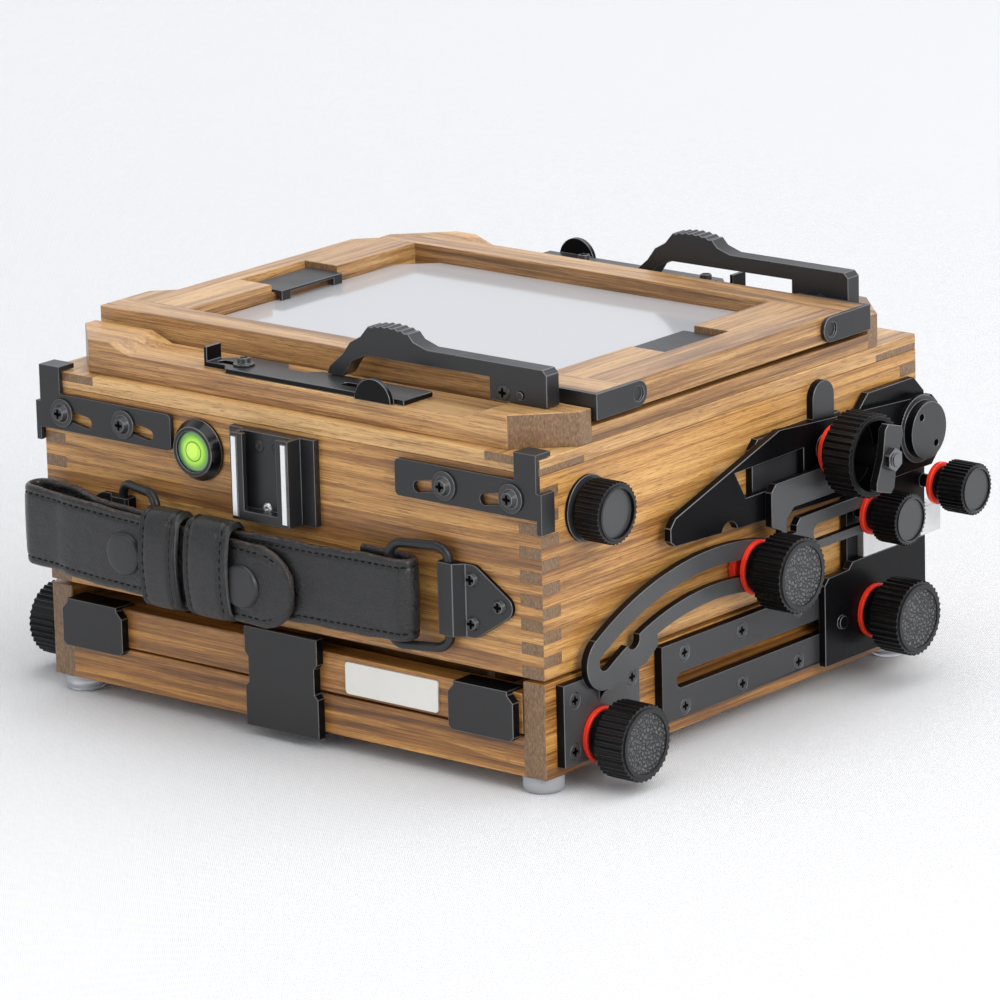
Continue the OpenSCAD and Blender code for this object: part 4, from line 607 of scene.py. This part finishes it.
# Bright strips on the shoe's lips; dark chrome studs and nuts outside the lock levers, on painted arms
# darkened further with painted shade from the knobs in front of them
shoeFinish = inlaidMaterial("shoeFinish", (0.012, 0.012, 0.013, 1),
    beyond(1, -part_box("accessory_shoe")[0].y / mm - 0.2), (0.86, 0.86, 0.85, 1), 0.7, 0.0)
armShadedBlack = inlaidMaterial("armShadedBlack", (0.003, 0.003, 0.0035, 1),
    beyond(0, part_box("lock_lever_right")[1].x / mm), (0.2, 0.2, 0.21, 1), 1.0, 0.2, IOR=1.16)


# Name plate: pale satin metal, bare
def plateMaterial():
    material, tree, shader, coords = newMaterial("paleNamePlate", Metallic=0.35)
    film = satinFilm(tree, coords, (0.8, 0.78, 0.72, 1), 0.4)
    colour = blendColour(tree, 0.75, film["Color"], (0.82, 0.8, 0.75, 1))
    dress(tree, shader, colour, film["Roughness"], film["Height"], 0.1, 0.00003)
    return material


# Points as seen from the middle of their own part, along two axes: (u, v, 0)
def placeOn(u, v, points, middle):
    part = points - middle
    return np.stack([part[:, u], part[:, v], 0 * part[:, 0]], 1)


def placeOnX(points, middle):
    return placeOn(1, 2, points, middle)


# Screws above topScrews metres lie on the back, the others on the front
topScrews = 0.1


def placeOnFace(points, middle):
    onTop = (middle[:, 2] > topScrews)[:, None]
    return np.where(onTop, placeOn(0, 1, points, middle), placeOn(0, 2, points, middle))


# Finishes of the CAD nodes, with the bevel's width
for name, material in wood.items():
    finishNode(name, [material], 0.1 if name.startswith("box_") else 0.35)
plates = {
    blackSide: ["slot_plates", "pivot_discs", "lock_lever_right", "lock_lever_left", "side_guides"],
    staySatin: ["stay_right", "stay_left"],
    blackFront: ["track_tabs", "strap_plates"],
    blackTop: ["clamp_front", "clamp_rear", "tripod_plate"],
    blackMetal: ["lens_board", "glass_fittings", "lever_front", "lever_rear", "latch_right", "latch_left"],
    # carriage plates and rear uprights: near black as painted shade
    deepBlackAndShade: ["carriage_plates", "rear_uprights"],
}
for material, names in plates.items():
    for name in names:
        finishNode(name, [material, edgeHighlight], 0.12 if name.startswith("latch") else 0.2)
finishNode("arms", [armShadedBlack, edgeHighlight], 0.22)
finishNode("bed_screws", [sideScrews, edgeHighlight], 0.15, place=placeOnX)
finishNode("box_screws", [boxScrews, edgeHighlight], 0.15, place=placeOnFace)
for side in ("_right", "_left"):
    for name in ("stay_knob", "slide_knob"):
        finishNode(name + side, [pebbledKnob, knobEdge], 0.12, 1, placeOnX)
    for name in ("shift_knob", "swing_knob", "box_knob"):
        finishNode(name + side, [plainKnob, knobEdge], 0.12, 1, placeOnX)
    finishNode("cup_knob" + side, [deepBlackAndShade, knobEdge], 0.12, 1)
    finishNode("stay_clamp" + side, [redMetal], 0.2)
finishNode("focus_knobs", [pebbledKnob, knobEdge], 0.12, 1, placeOnX)
for name in ("focus_washers", "carriage_washers", "cup_washers"):
    finishNode(name, [redMetal], 0.25)
for name in ("rear_crossbar", "track_racks"):
    finishNode(name, [silverMetal], 0.25)
finishNode("focus_shaft", [brightSteel], 0.1)
finishNode("name_plate", [plateMaterial()], 0.15)
finishNode("rubber_feet", [silicone], 0.5, 3)
finishNode("ground_glass", [groundGlass], 0.3)
finishNode("accessory_shoe", [shoeFinish, edgeHighlight], 0.15)


# Screws of the shoe, flush on the floor of its channel: two dark heads above, a bright one below
shoeScrews = {"floor": -93.55, "steps": 32,
    "places": {"A": (-6.2, 84.4, blackMetal), "B": (0.7, 84.5, blackMetal), "C": (-3.7, 66.0, brightSteel)},
    "profile": [(0.01, 0.1), (0.5, 0.12), (0.62, 0.42), (0.8, 0.46), (1.6, 0.36), (1.86, 0.18), (1.9, 0.0)]}
for letter, (x, z, metal) in shoeScrews["places"].items():
    head = lathe("shoeScrew" + letter, shoeScrews["profile"], (x, shoeScrews["floor"], z), (0, -1, 0),
        metal, shoeScrews["steps"])
    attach(head, bodyOf["accessory_shoe"])

# Cross-headed screws at the brackets' ends and on the levers' pins, on the right side
backScrews = {"profile": np.array([(0.01, 0.5), (0.72, 0.5), (0.9, 0.38), (1.0, 0.1), (1.0, -0.1)]),
    "steps": 32, "bracket": {"at": (89.5, 45.85, 104.55), "radius": 2.15},
    "pin": {"at": (69.8, 74.0, 107.0), "radius": 2.4}}


def makeBackScrew(name, kind, side):
    spec = backScrews[kind]
    x, y, z = spec["at"]
    onBracket = kind == "bracket"
    centre = (x, y * side, z)
    axis = (1, 0, 0) if onBracket else (0, side, 0)
    head = lathe(name, backScrews["profile"] * (spec["radius"], 1), centre, axis, backScrewBlack,
        backScrews["steps"])
    writePlace(head, placeOn(1 if onBracket else 0, 2, readPoints(head.data) * 1000, centre))
    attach(head, bodyOf["glass_fittings"])


for kind in ("bracket", "pin"):
    for letter, side in (("A", -1), ("B", 1)):
        makeBackScrew(kind + "Screw" + letter, kind, side)
print("stage finishes")


# Spirit level: bezel of the CAD, a domed vial with a ring line and a bubble
level = {"vialRadius": 6.0, "rise": 2.7, "dome": 0.5, "ring": 2.9, "bubble": 2.35,
    "bubbleAt": (-0.5, 0, 0.35), "glow": 0.12, "liquid": [(0.0, tint(186, 236, 60)),
        (0.62, tint(164, 222, 34)), (0.8, tint(104, 168, 46)), (1.0, tint(96, 132, 96))]}
levelLow, levelHigh = (np.array(v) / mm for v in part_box("spirit_level"))
levelMiddle = [(levelLow[0] + levelHigh[0]) / 2, levelHigh[1], (levelLow[2] + levelHigh[2]) / 2]


def vialMaterial():
    # the vial glows with its own tone: painted light, it is no lamp
    material, tree, shader, coords = newMaterial("levelVial", Coat_Weight=1.0, Coat_Roughness=0.04,
        Roughness=0.25, Emission_Strength=level["glow"])
    middle = tuple(v * mm for v in levelMiddle)
    local = vectorCalc(tree, "SUBTRACT", coords["Object"], middle)
    local = vectorCalc(tree, "MULTIPLY", local, (1000, 0, 1000))
    radius = lengthOf(tree, local)
    bubble = lengthOf(tree, vectorCalc(tree, "SUBTRACT", local, level["bubbleAt"]))
    # the liquid is painted lighter in the middle and darker to the rim, and the bubble lighter: painted
    # light; the ring line is printed
    tone = ramp(tree, calc(tree, "DIVIDE", radius, level["vialRadius"]), level["liquid"])
    inBubble = inverse(tree, fade(tree, bubble, level["bubble"] - 0.2, level["bubble"]))
    tone = blendColour(tree, times(tree, inBubble, 0.7), tone, tint(206, 244, 84))
    edge = calc(tree, "ABSOLUTE", calc(tree, "SUBTRACT", radius, level["ring"]))
    line = inverse(tree, fade(tree, edge, 0.1, 0.28))
    tone = blendColour(tree, times(tree, line, 0.8), tone, tint(40, 74, 20))
    join(tree, tone, shader.inputs["Base Color"])
    join(tree, tone, shader.inputs["Emission Color"])
    return material


finishNode("spirit_level", [bezelBlack, edgeHighlight], 0.2)
arc = np.linspace(0, 1, 14)
domeHeight = level["rise"] + level["dome"] * (1 - arc ** 2)
vial = lathe("levelVial", np.stack([level["vialRadius"] * arc, domeHeight], 1), levelMiddle, (0, -1, 0),
    vialMaterial())
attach(vial, bodyOf["spirit_level"])


# Leather strap: a path in space, swept with a crowned section; keepers, snaps and stitches on it
strap = {"half": 12.25, "thick": 2.6, "inner": -93.4, "middle": -99.9, "outer": -102.6, "tongueStart": 1.25,
    "tongueMiddle": 45.5, "stitchInset": 2.4, "stitchPitch": 2.5, "stitchStart": 6, "spacing": 0.9,
    "columns": 41, "crownEdge": 0.78, "crownRise": 0.26, "furrow": 0.34, "furrowWidth": 0.045}


# Round fold of the strap about a centre, at height z
def foldPoints(x, y, z, radius, first, last, count=14):
    a = np.radians(np.linspace(first, last, count))
    return np.stack([x + radius * np.cos(a), y + radius * np.sin(a), z + 0 * a], 1)


# Rows of values at marks along a way
def sampleAt(marks, way, values):
    return np.stack([np.interp(marks, way, column) for column in values.T], 1)


# Smooth line through points at even spacing, by a Catmull-Rom curve
def smoothPath(points, spacing):
    p = np.concatenate([[2 * points[0] - points[1]], points, [2 * points[-1] - points[-2]]])
    t = np.linspace(0, 1, 12, endpoint=False)[None, :, None]
    a, b, c, d = (p[k:len(p) - 3 + k][:, None] for k in range(4))
    curve = 0.5 * (2 * b + (c - a) * t + (2 * a - 5 * b + 4 * c - d) * t ** 2
        + (3 * b - a - 3 * c + d) * t ** 3)
    curve = np.concatenate([curve.reshape(-1, 3), points[-1:]])
    way = np.concatenate([[0], np.cumsum(np.linalg.norm(np.diff(curve, axis=0), axis=1))])
    even = np.linspace(0, way[-1], int(way[-1] / spacing) + 1)
    return sampleAt(even, way, curve), even


# From the sewn end through the right ring, along the box, round the left ring and back to the tongue's tip
def strapPath():
    inner, middle, outer = (strap[k] for k in ("inner", "middle", "outer"))
    sewn = [(32, inner, 48.8), (42, inner, 48.8)]
    along = [(36, middle, 48.6), (10, middle, 48.2), (-30, middle, 48.0), (-62.5, -99.3, 48.6),
        (-70.5, -96.65, 49), (-77, -94.2, 49.2), (-81, inner, 49.4)]
    back = [(-80, -101.3, 49), (-74.5, -102.2, 48.7), (-56.5, -102.8, 47.9), (-30, outer, 46.8),
        (-14, outer, 46.1), (strap["tongueStart"], outer, strap["tongueMiddle"]), (13.5, outer, 45)]
    return np.concatenate([sewn, foldPoints(49.95, -96.65, 48.8, 3.25, 90, -90),
        along, foldPoints(-90.5, -97.1, 49.4, 3.7, 90, 270), back])


# Half thickness over the width: rolled edge, stitch furrow, full middle; z in -1..1 of the half width
def strapCrown(z):
    side = np.abs(z)
    edge = np.sqrt(np.clip(1 - side ** 16, 0, 1))
    fromStitch = side - 1 + strap["stitchInset"] / strap["half"]
    furrow = strap["furrow"] * np.exp(-(fromStitch / strap["furrowWidth"]) ** 2)
    crown = strap["crownEdge"] + strap["crownRise"] * np.cos(z * 1.3)
    return strap["thick"] / 2 * edge * crown - furrow * (side < 0.95)


def makeStrap():
    path, way = smoothPath(strapPath(), strap["spacing"])
    ahead = np.gradient(path, axis=0)
    ahead[:, 2] = 0
    ahead /= np.linalg.norm(ahead, axis=1)[:, None]
    out = np.stack([-ahead[:, 1], ahead[:, 0], 0 * way], 1)
    tail = np.clip((path[:, 0] - strap["tongueStart"]) / strap["half"], 0, 1) * (way > way[-1] * 0.8)
    narrow = np.sqrt(np.clip(1 - tail ** 2, 0.0004, 1))
    across = np.sin(np.linspace(-np.pi / 2, np.pi / 2, strap["columns"]))
    z = np.concatenate([across, across[::-1][1:-1]])
    face = np.concatenate([np.ones(len(across)), -np.ones(len(across) - 2)])
    lift = strapCrown(z) * face
    # the edges wave a little, as worn leather does: 0.16 sin(way / 5.3) + 0.1 sin(way / 2.1 + 1)
    worn = 0.16 * np.sin(way / 5.3) + 0.1 * np.sin(way / 2.1 + 1)
    fullness = np.minimum(1, narrow * 3)
    points = path[:, None] + out[:, None] * (lift[None, :, None] * fullness[:, None, None])
    points[..., 2] += z[None] * (strap["half"] * narrow + worn * (narrow > 0.99))[:, None]
    count, rim = len(path), len(z)
    caps = np.stack([np.arange(rim), (count - 1) * rim + np.arange(rim)[::-1]])
    piece = makeMesh("leatherStrap", points * mm, gridFaces(count, rim, wrapColumns=True)[:, ::-1], caps,
        material=leather)
    share = piece.data.attributes.new("rim", "FLOAT", "POINT")
    tip = (narrow < 0.12) * 1.0
    share.data.foreach_set("value", np.maximum(np.abs(z)[None], tip[:, None]).astype(np.float32).ravel())
    return piece, path, out, ahead, way


strapPiece, strapLine, strapOut, strapAhead, strapWay = makeStrap()
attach(strapPiece, "rear_box")
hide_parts("leather_strap")


# Stitches: one small half spindle repeated at places with directions and face normals
stitch = {"length": 1.8, "width": 0.58, "height": 0.36, "rows": 7, "columns": 6}


def makeStitches(name, place, along, up):
    u = np.linspace(-1, 1, stitch["rows"])
    v = np.linspace(0, np.pi, stitch["columns"])
    body = np.sqrt(np.clip(1 - u ** 4, 0, 1))
    side = np.cross(along, up)
    across, raised = body[:, None] * np.cos(v), body[:, None] * np.sin(v)
    points = (place[:, None, None] + u[None, :, None, None] * along[:, None, None] * stitch["length"] / 2
        + across[None, ..., None] * side[:, None, None] * stitch["width"] / 2
        + raised[None, ..., None] * up[:, None, None] * stitch["height"])
    first = np.arange(len(place)) * stitch["rows"] * stitch["columns"]
    faces = (gridFaces(stitch["rows"], stitch["columns"])[None] + first[:, None, None]).reshape(-1, 4)
    piece = makeMesh(name, points * mm, faces, material=thread)
    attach(piece, "rear_box")


def strapStitches():
    inset = strap["half"] - strap["stitchInset"]
    marks = np.arange(strap["stitchStart"], strapWay[-1] - strap["half"] - 1, strap["stitchPitch"])
    middle, out, ahead = (sampleAt(marks, strapWay, values) for values in (strapLine, strapOut, strapAhead))
    height = strap["thick"] / 2 - 0.5
    rows = [(middle + out * height * face + np.array([0, 0, inset * end]), ahead, out * face)
        for face in (-1, 1) for end in (-1, 1)]
    a = np.radians(np.arange(-84, 85, math.degrees(strap["stitchPitch"] / inset)))
    centre = np.array([strap["tongueStart"], strap["outer"] - height, strap["tongueMiddle"]])
    bow = centre + inset * np.stack([np.cos(a), 0 * a, np.sin(a)], 1)
    turn = np.stack([-np.sin(a), 0 * a, np.cos(a)], 1)
    rows.append((bow, turn, np.tile([0.0, -1.0, 0.0], (len(a), 1))))
    return [np.concatenate(part) for part in zip(*rows)]


makeStitches("strapStitches", *strapStitches())


# Keepers: bands wrapped round both strands, edges rolled over
keeper = {"spans": {"A": (-43.5, -28.5), "B": (-26.0, -9.0)}, "middleY": -101.25, "middleZ": 47.8,
    "halfY": 2.85, "halfZ": 13.2, "corner": 2.3, "thick": 1.9, "bulge": 1.9, "columns": 25, "bead": 0.75,
    "beadWidth": 0.75, "beadInset": 1.0, "furrow": 0.6, "furrowWidth": 0.5, "stitchInset": 2.3}


# Rounded rectangle in Y-Z as points and outward normals
def roundedLoop(halfY, halfZ, corner, perCorner=9, perSide=14):
    a = np.linspace(0, np.pi / 2, perCorner)
    quarter = np.stack([np.cos(a), np.sin(a)], 1)
    centres = np.array([(1, 1), (-1, 1), (-1, -1), (1, -1)]) * (halfY - corner, halfZ - corner)
    along = np.linspace(0, 1, perSide)[1:-1, None]
    points, normals = [], []
    for k in range(4):
        c, s = math.cos(k * math.pi / 2), math.sin(k * math.pi / 2)
        outward = quarter @ np.array([[c, s], [-s, c]])
        bend = centres[k] + corner * outward
        sideways = np.array([math.cos((k + 1) * math.pi / 2), math.sin((k + 1) * math.pi / 2)])
        sideEnd = centres[(k + 1) % 4] + corner * sideways
        points += [bend, bend[-1] + (sideEnd - bend[-1]) * along]
        normals += [outward, np.tile(sideways, (perSide - 2, 1))]
    return np.concatenate(points), np.concatenate(normals)


def makeKeeper(name, x0, x1):
    loop, normal = roundedLoop(keeper["halfY"], keeper["halfZ"], keeper["corner"])
    width = x1 - x0
    s = np.linspace(-1, 1, keeper["columns"])
    edge = np.sqrt(np.clip(1 - np.abs(s) ** 4, 0, 1))
    fromBead = np.abs(s) * width / 2 - (width / 2 - keeper["beadInset"])
    bead = keeper["bead"] * np.exp(-(fromBead / keeper["beadWidth"]) ** 2)
    fromStitch = np.abs(s) * width / 2 - (width / 2 - keeper["stitchInset"])
    furrow = keeper["furrow"] * np.exp(-(fromStitch / keeper["furrowWidth"]) ** 2)
    outer = keeper["thick"] * edge + bead * edge - furrow
    x = np.concatenate([s, s[::-1]]) * width / 2 + (x0 + x1) / 2
    lift = np.concatenate([outer, np.zeros(len(s))])
    swell = np.cos(loop[:, 1] / keeper["halfZ"] * np.pi / 2) ** 0.8
    front = np.clip(-normal[:, 0], 0, 1) * swell * keeper["bulge"]
    offset = lift[None] + front[:, None]
    points = np.empty((len(loop), len(x), 3))
    points[..., 0] = x[None]
    points[..., 1] = keeper["middleY"] + loop[:, None, 0] + normal[:, None, 0] * offset
    points[..., 2] = keeper["middleZ"] + loop[:, None, 1] + normal[:, None, 1] * offset
    piece = makeMesh(name, points * mm, gridFaces(len(loop), len(x), True, True), material=leather)
    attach(piece, "rear_box")
    # stitches run round the band just inside both rolled edges
    way = np.concatenate([[0], np.cumsum(np.linalg.norm(np.diff(loop, axis=0), axis=1))])
    marks = np.arange(0, way[-1], strap["stitchPitch"])
    ring, up = sampleAt(marks, way, loop), sampleAt(marks, way, normal)
    raised = keeper["thick"] * 0.9 - 0.72 + np.interp(marks, way, front)
    ahead = np.stack([0 * marks, -up[:, 1], up[:, 0]], 1)
    up3 = np.stack([0 * marks, up[:, 0], up[:, 1]], 1)
    base = np.stack([0 * marks, keeper["middleY"] + ring[:, 0], keeper["middleZ"] + ring[:, 1]], 1)
    base += up3 * raised[:, None]
    rows = [base + np.array([x, 0, 0]) for x in (x0 + keeper["stitchInset"], x1 - keeper["stitchInset"])]
    makeStitches(name + "Stitches", np.concatenate(rows), np.tile(ahead, (2, 1)), np.tile(up3, (2, 1)))


for letter, span in keeper["spans"].items():
    makeKeeper("strapKeeper" + letter, *span)

# Snaps: low caps on the outer strand, each in a pressed ring
snap = {"places": {"A": (-51.3, 47.4), "B": (-5.8, 44.8)}, "front": -103.75,
    "profile": [(0.01, 1.7), (1.5, 1.68), (3.5, 1.62), (5.5, 1.5), (6.1, 1.35), (6.42, 0.9), (6.5, 0.15),
        (6.7, 0.1), (7.1, 0.12), (7.4, -0.3)]}
for letter, (x, z) in snap["places"].items():
    cap = lathe("strapSnap" + letter, snap["profile"], (x, snap["front"], z), (0, -1, 0), snapCap)
    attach(cap, "rear_box")


# Wire rings: a round bar bent to a rectangle with round corners, hinged in its sleeve
wireRing = {"wire": 1.4, "halfZ": 15.1, "middleZ": 49.5, "corner": 4.2, "hinge": (62.5, -91.45),
    "free": (44.744, -96.642)}


# A tube of a radius swept along a closed line
def sweptLoop(line, radius, steps=20):
    ahead = np.roll(line, -1, axis=0) - np.roll(line, 1, axis=0)
    ahead /= np.linalg.norm(ahead, axis=1)[:, None]
    flat = np.cross(line[1] - line[0], line[len(line) // 2] - line[0])
    flat /= np.linalg.norm(flat)
    side = np.cross(ahead, flat)
    turn = np.linspace(0, 2 * np.pi, steps, endpoint=False)
    around = np.cos(turn)[None, :, None] * side[:, None] + np.sin(turn)[None, :, None] * flat
    return line[:, None] + radius * around, gridFaces(len(line), steps, True, True)


def makeRings():
    hinge, free = (np.array(wireRing[k]) for k in ("hinge", "free"))
    length = np.linalg.norm(free - hinge)
    loop = roundedLoop(length / 2, wireRing["halfZ"], wireRing["corner"], 12, 10)[0]
    # points that repeat the one before them go
    loop = loop[np.linalg.norm(loop - np.roll(loop, 1, axis=0), axis=1) > 1e-6]
    share = (loop[:, :1] + length / 2) / length
    flatLine = hinge + (free - hinge) * share
    right = np.concatenate([flatLine, wireRing["middleZ"] + loop[:, 1:]], 1)
    left = right * (-1, 1, 1)
    tubes, faces = zip(*(sweptLoop(line, wireRing["wire"]) for line in (right, left[::-1])))
    count = tubes[0].shape[0] * tubes[0].shape[1]
    piece = makeMesh("wireRings", np.stack(tubes) * mm, np.concatenate([faces[0], faces[1] + count]),
        material=blackMetal)
    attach(piece, "rear_box")
    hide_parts("strap_rings")


makeRings()
print("stage strap")

# Bellows: stacked pleats round the light path, each fold rounded
bellows = {"halfX": 80.0, "halfY": 75.0, "wall": 10.0, "corner": 6.0, "pleats": 11, "pleat": 1.8, "step": 3.0,
    "rowsPerPleat": 8}


def makeBellows():
    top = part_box("bellows")[1].z / mm
    z = np.linspace(0, 1, bellows["pleats"] * bellows["rowsPerPleat"] + 1)
    fold = 0.5 - 0.5 * np.cos(z * bellows["pleats"] * 2 * np.pi)
    inset = np.concatenate([bellows["step"] * fold, bellows["wall"] - bellows["step"] * fold[::-1]])
    height = top - bellows["pleats"] * bellows["pleat"] * np.concatenate([z, z[::-1]])
    loop, normal = roundedLoop(bellows["halfX"], bellows["halfY"], bellows["corner"] + bellows["wall"])
    points = np.empty((len(loop), len(inset), 3))
    points[..., :2] = loop[:, None] - normal[:, None] * inset[None, :, None]
    points[..., 2] = height[None]
    piece = makeMesh("foldedBellows", points * mm, gridFaces(len(loop), len(inset), True, True)[:, ::-1],
        material=bellowsCloth)
    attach(piece, bodyOf["bellows"])
    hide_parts("bellows")


makeBellows()
print("stage bellows")

# Studio: white cloth floor, soft lights, white surroundings
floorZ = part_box("rubber_feet")[0].z
# The cloth: half its width in metres, threads in radians a millimetre, low and high colours of the weave
# that fade from near to far metres into farColour
cloth = {"half": 8.0, "thread": 8.4, "low": (0.66, 0.66, 0.662, 1), "high": (0.79, 0.79, 0.795, 1),
    "near": 0.25, "far": 1.4, "farColour": (0.93, 0.93, 0.93, 1)}


def floorMaterial():
    material, tree, shader, coords = newMaterial("whiteCloth")
    place = millimetres(tree, coords["Object"])
    fuzz = noise(tree, place, (0.5, 0.5, 0.5), 4.0, 0.65)[0]
    part = put(tree, "SeparateXYZ", {0: place}).outputs
    # threads = sin(thread x) sin(thread y), a pitch of 0.75 mm; weave = threads / 2 + fuzz
    waves = [calc(tree, "SINE", times(tree, part[k], cloth["thread"])) for k in (0, 1)]
    weave = timesPlus(tree, times(tree, *waves), 0.5, fuzz)
    near = blendColour(tree, timesPlus(tree, weave, 0.6, 0.2), cloth["low"], cloth["high"])
    # the colour fades towards the lighter farColour with distance: painted light that evens out the lamps'
    # falloff
    away = fade(tree, lengthOf(tree, coords["Object"]), cloth["near"], cloth["far"])
    shade = blendColour(tree, away, near, cloth["farColour"])
    folds = noise(tree, place, (0.012, 0.012, 0.012), 3.0, 0.5)[0]
    dress(tree, shader, shade, 0.85, timesPlus(tree, folds, 6.0, weave), 0.35, 0.0012)
    return material


floorCorners = [(x * cloth["half"], y * cloth["half"], floorZ)
    for x, y in ((-1, -1), (1, -1), (1, 1), (-1, 1))]
floor = makeMesh("studioFloor", floorCorners, np.array([[0, 1, 2, 3]]), material=floorMaterial(),
    smooth=False)

# Surroundings: white to the camera, soft on matt faces, brighter in mirrors towards the far side of the part
surround = {"ambient": 0.82, "mirrorLow": 0.25, "far": (-0.64, 0.77, 0.0), "light": (0.94, 0.96, 1.0, 1),
    "seen": (0.9, 0.91, 0.92, 1)}
world = bpy.data.worlds.new("studioSurround")
world.use_nodes = True
scene.world = world
tree = world.node_tree
background = tree.nodes["Background"]
rays = put(tree, "LightPath").outputs
direction = tree.nodes.new("ShaderNodeTexCoord").outputs["Generated"]
behind = put(tree, "VectorMath", {0: direction, 1: surround["far"]}, operation="DOT_PRODUCT").outputs["Value"]
# mirrored = mirrorLow + (1 - mirrorLow) fade(behind)
dimmest = surround["mirrorLow"]
mirrored = timesPlus(tree, fade(tree, behind, -0.2, 0.7), 1 - dimmest, dimmest)
soft = blendValue(tree, rays["Is Glossy Ray"], surround["ambient"], mirrored)
shown = blendColour(tree, rays["Is Camera Ray"], surround["light"], surround["seen"])
join(tree, shown, background.inputs["Color"])
join(tree, blendValue(tree, rays["Is Camera Ray"], soft, 1.0), background.inputs["Strength"])


# Soft boxes: place and size in metres, power in watts; all aim at lampAim
lampAim = Vector((0, 0, 0.05))
lamps = {
    "overheadBox": {"place": (0.35, 0.15, 1.25), "size": (1.9, 1.7), "power": 14.6, "colour": (1, 1, 1)},
    "rightBox": {"place": (1.5, -0.35, 0.75), "size": (0.9, 0.7), "power": 12.6, "colour": (0.98, 0.99, 1.0)},
    "frontBox": {"place": (-0.6, -1.7, 0.6), "size": (0.8, 0.6), "power": 4, "colour": (1, 1, 1)},
}
for name, lampSpec in lamps.items():
    data = bpy.data.lights.new(name, "AREA")
    data.shape = "RECTANGLE"
    data.size, data.size_y = lampSpec["size"]
    data.energy = lampSpec["power"]
    data.color = lampSpec["colour"]
    lamp = bpy.data.objects.new(name, data)
    lamp.location = lampSpec["place"]
    lamp.rotation_mode = "QUATERNION"
    lamp.rotation_quaternion = (lampAim - Vector(lampSpec["place"])).to_track_quat("-Z", "Y")
    scene.collection.objects.link(lamp)

# Camera at the photo's place: azimuth, elevation and roll in degrees, the rest in millimetres
view = {"azimuth": 39.762, "elevation": 15.184, "roll": -1.452, "right": 4.612, "up": 50.167,
    "distance": 2040.796, "drop": 4.0, "lens": 243.2, "sensor": 36}


def makeCamera():
    a, e, r = (math.radians(view[k]) for k in ("azimuth", "elevation", "roll"))
    back = Vector((math.sin(a) * math.cos(e), -math.cos(a) * math.cos(e), math.sin(e)))
    right = Vector((math.cos(a), math.sin(a), 0))
    up = back.cross(right)
    place = right * view["right"] + up * view["up"] + back * view["distance"] - Vector((0, 0, view["drop"]))
    # the roll turns right and up about the line of sight
    right, up = right * math.cos(r) + up * math.sin(r), up * math.cos(r) - right * math.sin(r)
    data = bpy.data.cameras.new("photoCamera")
    data.lens = view["lens"]
    data.sensor_width = view["sensor"]
    data.clip_start, data.clip_end = 0.1, 50
    camera = bpy.data.objects.new("photoCamera", data)
    turn = Matrix((right, up, back)).transposed()
    camera.rotation_mode = "QUATERNION"
    camera.rotation_quaternion = turn.to_quaternion()
    camera.location = place * mm
    scene.collection.objects.link(camera)
    scene.camera = camera


makeCamera()
scene.view_settings.view_transform = "Standard"

print("stage done")
